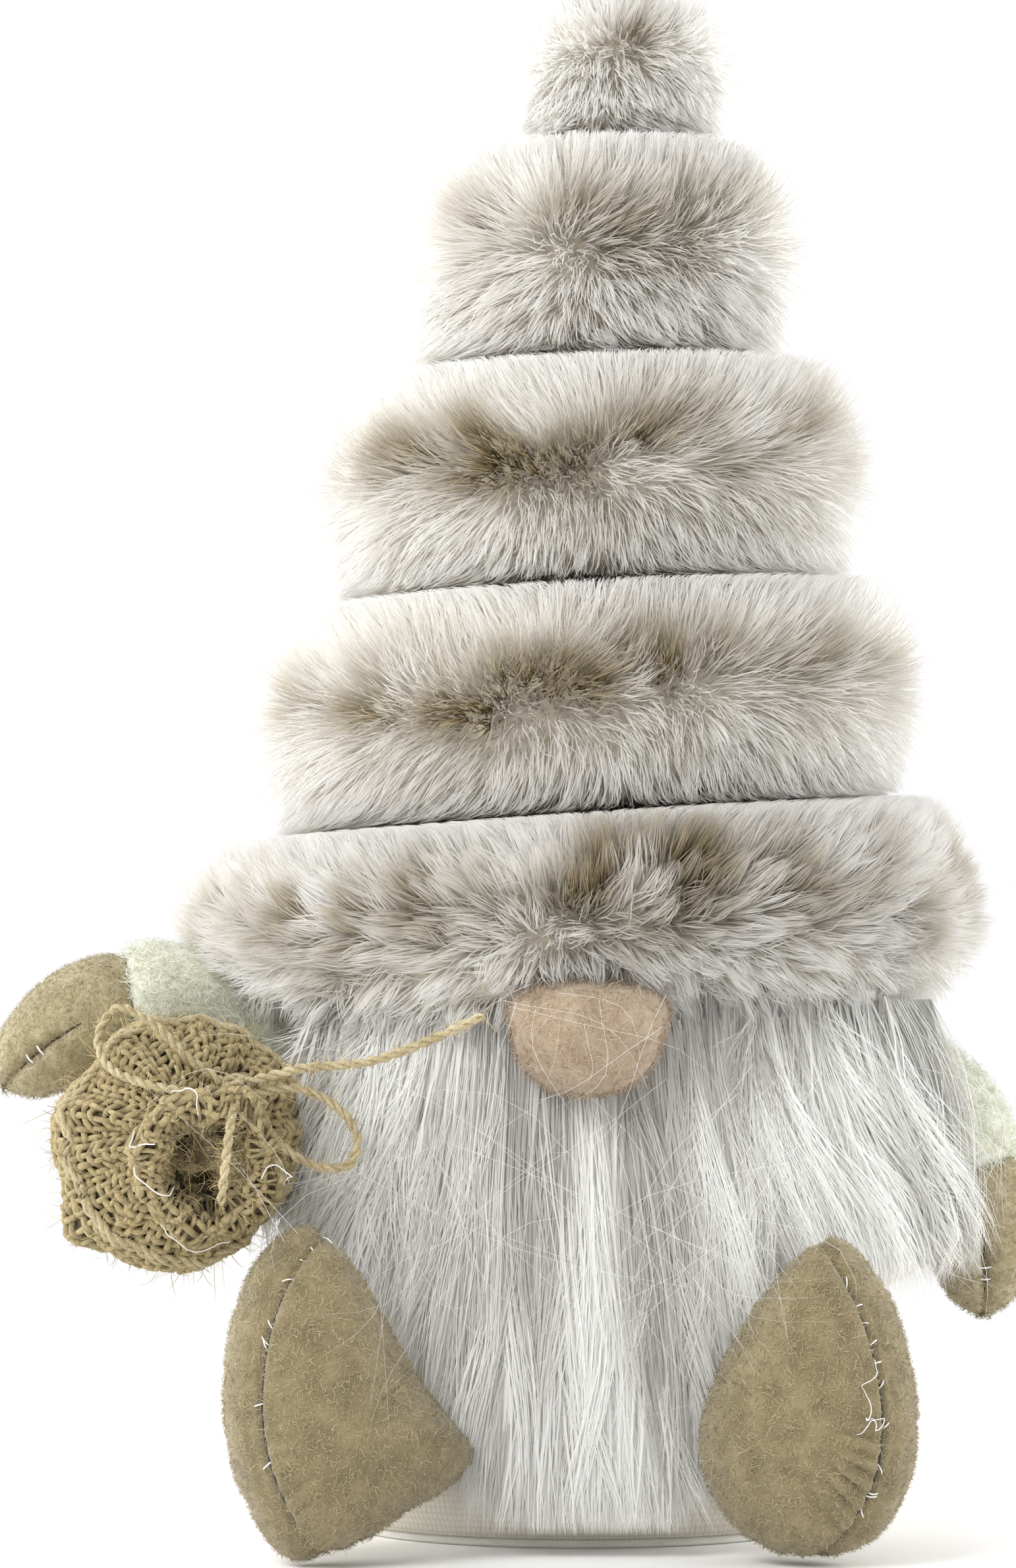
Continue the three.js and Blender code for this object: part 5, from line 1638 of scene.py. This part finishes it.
def sack_fold(radius, along, angle, inward):
    """The belly's two lobes and pleats near the neck, and the crumpled mouth: inside it
    the cloth rises to the rim, but not in its four pockets. Inward is 1 inside it."""
    full = smoothstep(along, 3, 18) * (1 - smoothstep(along, sack_neck - 9, sack_neck - 1))
    gather = smoothstep(along, belly, sack_neck) * (1 - smoothstep(along, sack_neck, sack_neck + 5))
    open_ = smoothstep(along, sack_neck + 1, sack_reach - 2)
    dent = 0.16 * hump(turned_from(angle, 140), 0.33)
    lobes = 0.045 * np.cos(3 * (angle - math.radians(262))) - dent
    ear = 0.2 * hump(turned_from(angle, 222), 0.2) * hump(along - belly * 0.75, 7)
    pleats = (0.07 * np.cos(9 * angle + 2.2 * np.sin(2 * angle))
              + 0.05 * np.cos(17 * angle + np.sin(angle)))
    dips = sum(hump(turned_from(angle, fold), 0.36) for fold in sack_mouth_folds)
    within = smoothstep(inward, 0, 1)
    lip = 0.04 * np.cos(5 * angle + 1) + 0.2 * np.sin(angle - 0.25) ** 2 - 0.07 * dips
    factor = 1 + full * lobes + ear + gather * pleats + open_ * lip
    radius = radius * factor
    full_height = np.clip(1 - 1.6 * in_pocket(radius, angle), -0.35, 1)
    raised = within * (sack_reach - 0.6 - along) * full_height
    return radius, along + raised * (1 - smoothstep(radius, 8, 12)) - open_ * 0.6 * dips


def sack_at(u, s, lift=0.0):
    """A place on the sack's cloth at share u round it and s mm along its profile, lifted
    out along the profile's normal."""
    radius, along = (np.interp(s, sack_run, column) for column in sack_profile.T)
    step = 0.4
    slope = unit(looked_up(s + step, sack_run, sack_profile)
                 - looked_up(s - step, sack_run, sack_profile))
    radius, along = radius + slope[..., 1] * lift, along - slope[..., 0] * lift
    inward = (s - sack_rim) / 5 + 0 * u
    return sack_seat(np.maximum(radius, 0), along, TURN * u, inward)


sack_carry = carrier(sack_line, z_axis)


def sack_seat(radius, along, angle, inward):
    """Carries a radius and a distance along to the sack's line, with its folds."""
    radius, along = sack_fold(radius, along, angle, inward)
    seated = sack_carry(along, radius * np.cos(angle), radius * np.sin(angle))
    crumple = smoothstep(along, sack_neck + 1, sack_reach) * 0.9 + 0.3
    for axis in range(3):
        seated[..., axis] += crumple * wander(seated, 8, 160 + axis)
    return seated


def sack_base(u, v):
    """The cloth's middle, as a surface of u and v, a little inside the threads."""
    return sack_at(u, v * sack_girth, -0.8)


sack_inner = felt_material("jute_in_shadow", "#6b5a38", "#4a3d24", 4, 0.8, 0.3)
filled_skin("sack_cloth_base", sack_base, 120, 130, sack_inner, "sack", "burlap", 0.8,
            "sack_cloth", "sack_stuffing")
print("sack cloth is", round(sack_girth), "mm from its closed end over the mouth")

# %% Sacking thread
sacking, tree = new_material("woven_jute_thread")
tint = node(tree, "ShaderNodeAttribute", {"attribute_name": "tint"})
streaks = noise(tree, 0.6, 4.0, Roughness=0.7, Distortion=1.8)
colour = ramp(tree, (streaks, "Fac"), 0.3, "#8d7b52", 0.72, "#d9caa3")
# The thread's colour is multiplied by the tint in the mesh, which holds painted shade.
shaded = node(tree, "ShaderNodeMix", {"data_type": "RGBA", "blend_type": "MULTIPLY"},
              i0=1.0, i6=(colour, "Color"), i7=(tint, "Color"))
finish(tree, (shaded, 2), 0.85, 0.2, (streaks, "Fac"), 0.9, 0.3)


def thread_tone_and_painted_shade(over, u, s, sides, seed):
    """Painted shade on the threads: lighter where a thread lies over, darker where it dips
    under, darker in the mouth and most in its pockets, and darker in the crease behind the
    rolled mouth, with a little tone of its own for each thread."""
    own = np.random.default_rng(seed).uniform(0.86, 1.04, (len(over), 1))
    within = smoothstep(s, sack_rim + 1, sack_rim + 7)
    deep = np.clip(in_pocket(np.interp(s, sack_run, sack_profile[:, 0]), TURN * u), 0, 1)
    crease = hump(s - sack_crease, 1.8)
    # Painted shade inside the mouth, deepest in its pockets, and in the crease behind the roll.
    inside = 1 - within * (0.26 + 0.72 * deep) - 0.4 * crease
    value = (0.8 + 0.25 * over) * own * inside
    return np.repeat(value.reshape(-1, 1), sides, 0) * np.array((1.0, 0.985, 0.95))


print("sacking ready, rim at", round(sack_rim, 1))

# %% Woven threads
thread_count, thread_step = 68, 2.43
ring_count = int((sack_girth - 4) / thread_step)


def slubs(threads, steps, seed):
    """Uneven thickness along each thread, as hand-spun jute has."""
    low, high = 0.72, 1.15
    rng = np.random.default_rng(seed)
    phase = rng.uniform(0, TURN, (3, threads, 1))
    along = np.arange(steps)[None]
    wave = sum(np.sin(along * speed + phase[i]) for i, speed in enumerate((0.11, 0.27, 0.53))) / 3
    return low + (high - low) * (0.5 + 0.5 * wave)


rng = np.random.default_rng(150)
steps = 150
start = np.where(np.arange(thread_count) % 2 == 0, 9.0, 15.0)
start[::4] = 4.0
s = start[:, None] + (sack_girth - 1.5 - start)[:, None] * np.linspace(0, 1, steps)
i = np.arange(thread_count)[:, None]
u = (i + 0.22 * rng.normal(size=(thread_count, 1)) * np.sin(s / 9 + i)) / thread_count
over = np.cos(math.pi * (i + s / thread_step))
warp_line = sack_at(u, s, 0.1 - 0.42 * over)
normal = unit(sack_at(u, s, 1.0) - sack_at(u, s, 0.0))
apart = TURN * np.interp(s, sack_run, sack_profile[:, 0]) / thread_count
crowded = np.clip(apart / 2.2, 0.45, 1) ** 0.7
tube_piece("sack_threads_along", sacking, "sack", "burlap", warp_line,
           0.82 * crowded * slubs(thread_count, steps, 151), normal, 5,
           tint=thread_tone_and_painted_shade(-over, u, s, 5, 153))
warp_skin = (warp_line.reshape(-1, 3), normal.reshape(-1, 3))

steps = 210
j = np.arange(1, ring_count + 1)[:, None]
u = np.broadcast_to(np.linspace(0, 1, steps, endpoint=False), (ring_count, steps))
own = 0.1 * rng.normal(size=(ring_count, 1))
s = (j + 0.12 * np.sin(TURN * u * 3 + j) + own) * thread_step + 3
over = np.cos(math.pi * (thread_count * u + s / thread_step))
ring_line = sack_at(u, s, 0.1 + 0.42 * over)
normal = unit(sack_at(u, s, 1.0) - sack_at(u, s, 0.0))
tube_piece("sack_threads_round", sacking, "sack", "burlap", ring_line,
           0.84 * slubs(ring_count, steps, 152), normal, 5, ring=True,
           tint=thread_tone_and_painted_shade(over, u, s, 5, 154))
weft_skin = (ring_line.reshape(-1, 3), normal.reshape(-1, 3))
print(thread_count, "threads along and", ring_count, "rings of thread")

# %% Neck tie, knot and hanging stitch
turn = np.linspace(0, 2, 260)
neck_s = np.interp(sack_neck + 0.2, sack_profile[:400, 1], sack_run[:400])
tie_line = sack_at(turn % 1, neck_s + turn * 1.2, 1.5)
twine("neck_tie", tie_line, z_axis)

knot_shape = np.array([(2.9, 0, 0.6), (1.5, -1.8, 2.3), (-0.8, -2.2, 1.0), (-2.6, -0.4, -1.3),
                       (-1.4, 1.8, -2.2), (0.9, 1.5, 0.2), (2.3, -1.6, -1.3), (0.7, -2.7, -2.3),
                       (-1.4, -2.2, -0.6), (-2.1, -0.7, 1.9), (0.4, 0.4, 2.6), (2.9, 0, 0.6)])
twine("bow_knot", smooth_line(knot + knot_shape, 160), y_axis)
print("knot ready")

# %% [markdown]
# ### Loose fibres of the sack
#
# Jute sheds: stiff pale hairs stand out from the sacking and the twine in every
# direction. Some white cotton from the hem's sewing shows along the folded mouth.

# %% Jute hairs
root = np.concatenate((warp_skin[0], weft_skin[0]))
normal = np.concatenate((warp_skin[1], weft_skin[1]))
skin = np.concatenate(bow_skin)
away = unit(skin - np.roll(skin, 4, 0))
fuzz_on("sack_fuzz_short", root, normal, 5200, 170, 3.2, 0.16, 0.9, "burlap")
fuzz_on("sack_fuzz_long", root, normal, 1500, 171, 9.0, 0.13, 0.8, "burlap", levels=5)
fuzz_on("twine_fuzz", skin, away, 1500, 172, 4.0, 0.12, 0.7, "jute_twine")

bits = [
    [(0.50, -3, 1.0), (0.53, -1, 2.4), (0.56, 1, 3.0), (0.60, 2, 2.4), (0.62, 4, 0.8)],
    [(0.58, -4, 0.9), (0.66, -3.5, 1.5), (0.74, -3, 1.5), (0.82, -4, 0.9)],
    [(0.70, -7, 0.9), (0.72, -9, 2.0), (0.78, -8, 2.0), (0.84, -5, 0.9)],
    [(0.42, -1, 0.9), (0.44, -4, 1.6), (0.43, -8, 0.9)],
    [(0.98, 0, 0.9), (1.01, -1, 2.4), (0.96, -4, 2.2), (0.95, -7, 0.8)],
    [(0.30, 0, 0.8), (0.31, -4, 1.6), (0.33, -8, 0.8)],
]
for i, bit in enumerate(bits):
    line = smooth_line(bit, 40)
    line = sack_at(line[:, 0], sack_rim + line[:, 1], line[:, 2])
    tube_piece(f"sack_hem_stitch_{i + 1}", white_cotton, "sack", "white_thread", line[None],
               0.14, (0, 1.0, 0.1), 6)
print("sack fibres and", len(bits), "hem stitches ready")

# %% [markdown]
# ### Stray hairs
#
# A handmade piece like this sheds hair everywhere. Single white hairs from the beard lie
# in arcs over the nose, the boots and the arms.

# %% Strays
def strays(name, count, seed, corners, width):
    """Single hairs. Each runs from a random place in one box to one in another, bowed
    sideways by up to a third of its length. A box is two of the four corners."""
    rng = np.random.default_rng(seed)
    c, levels = np.array(corners, float), 9
    start = c[0] + (c[1] - c[0]) * rng.random((count, 3))
    stop = c[2] + (c[3] - c[2]) * rng.random((count, 3))
    t = np.linspace(0, 1, levels)[None, :, None]
    along = stop - start
    side = unit(np.cross(along, (0, 1.0, 0)) + 0.2 * rng.normal(size=(count, 3)))
    bow = 0.3 * np.linalg.norm(along, axis=1)[:, None, None] * rng.uniform(-1, 1, (count, 1, 1))
    path = start[:, None] + along[:, None] * t + side[:, None] * bow * np.sin(math.pi * t)
    path += side[:, None] * 0.25 * bow * np.sin(TURN * t + rng.uniform(0, 6, (count, 1, 1)))
    tint = np.broadcast_to(hair_white, (count, levels, 3))
    facing = unit(rng.normal(size=(count, 1, 3)) + np.array((0, -1.5, 0)))
    piece = strands(name, path, np.full(count, width), facing, tint, polyester_hair,
                    round_off=0.7)
    return place(piece, "root", "beard_hair")


for i, (place_name, count, width, *corners) in enumerate((
    ("nose", 13, 0.09, (-26, -85, 112), (26, -82, 121), (-32, -83, 84), (32, -76, 100)),
    ("left_boot", 16, 0.09, (-42, -74, 60), (-20, -66, 90), (-60, -92, 22), (-34, -86, 60)),
    ("right_boot", 16, 0.09, (14, -74, 50), (40, -68, 90), (34, -90, 24), (58, -86, 60)),
    ("middle", 46, 0.1, (-50, -68, 70), (55, -62, 108), (-40, -78, 15), (45, -70, 60)),
    ("right_arm", 70, 0.11, (58, -46, 70), (80, -36, 112), (72, -34, 46), (95, -31, 80)),
    ("sack", 6, 0.09, (-66, -88, 60), (-48, -72, 112), (-104, -80, 84), (-70, -92, 108)),
)):
    strays("strays_" + place_name, count, 180 + i, corners, width)
print("strays ready")

# %% Size
low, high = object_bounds()
sizes = {
    "cad": [list(cad_low), list(cad_high)],
    "visual": [list(low), list(high)],
}
print("visual box in mm:", [round(v / MM, 1) for v in (*low, *high)])
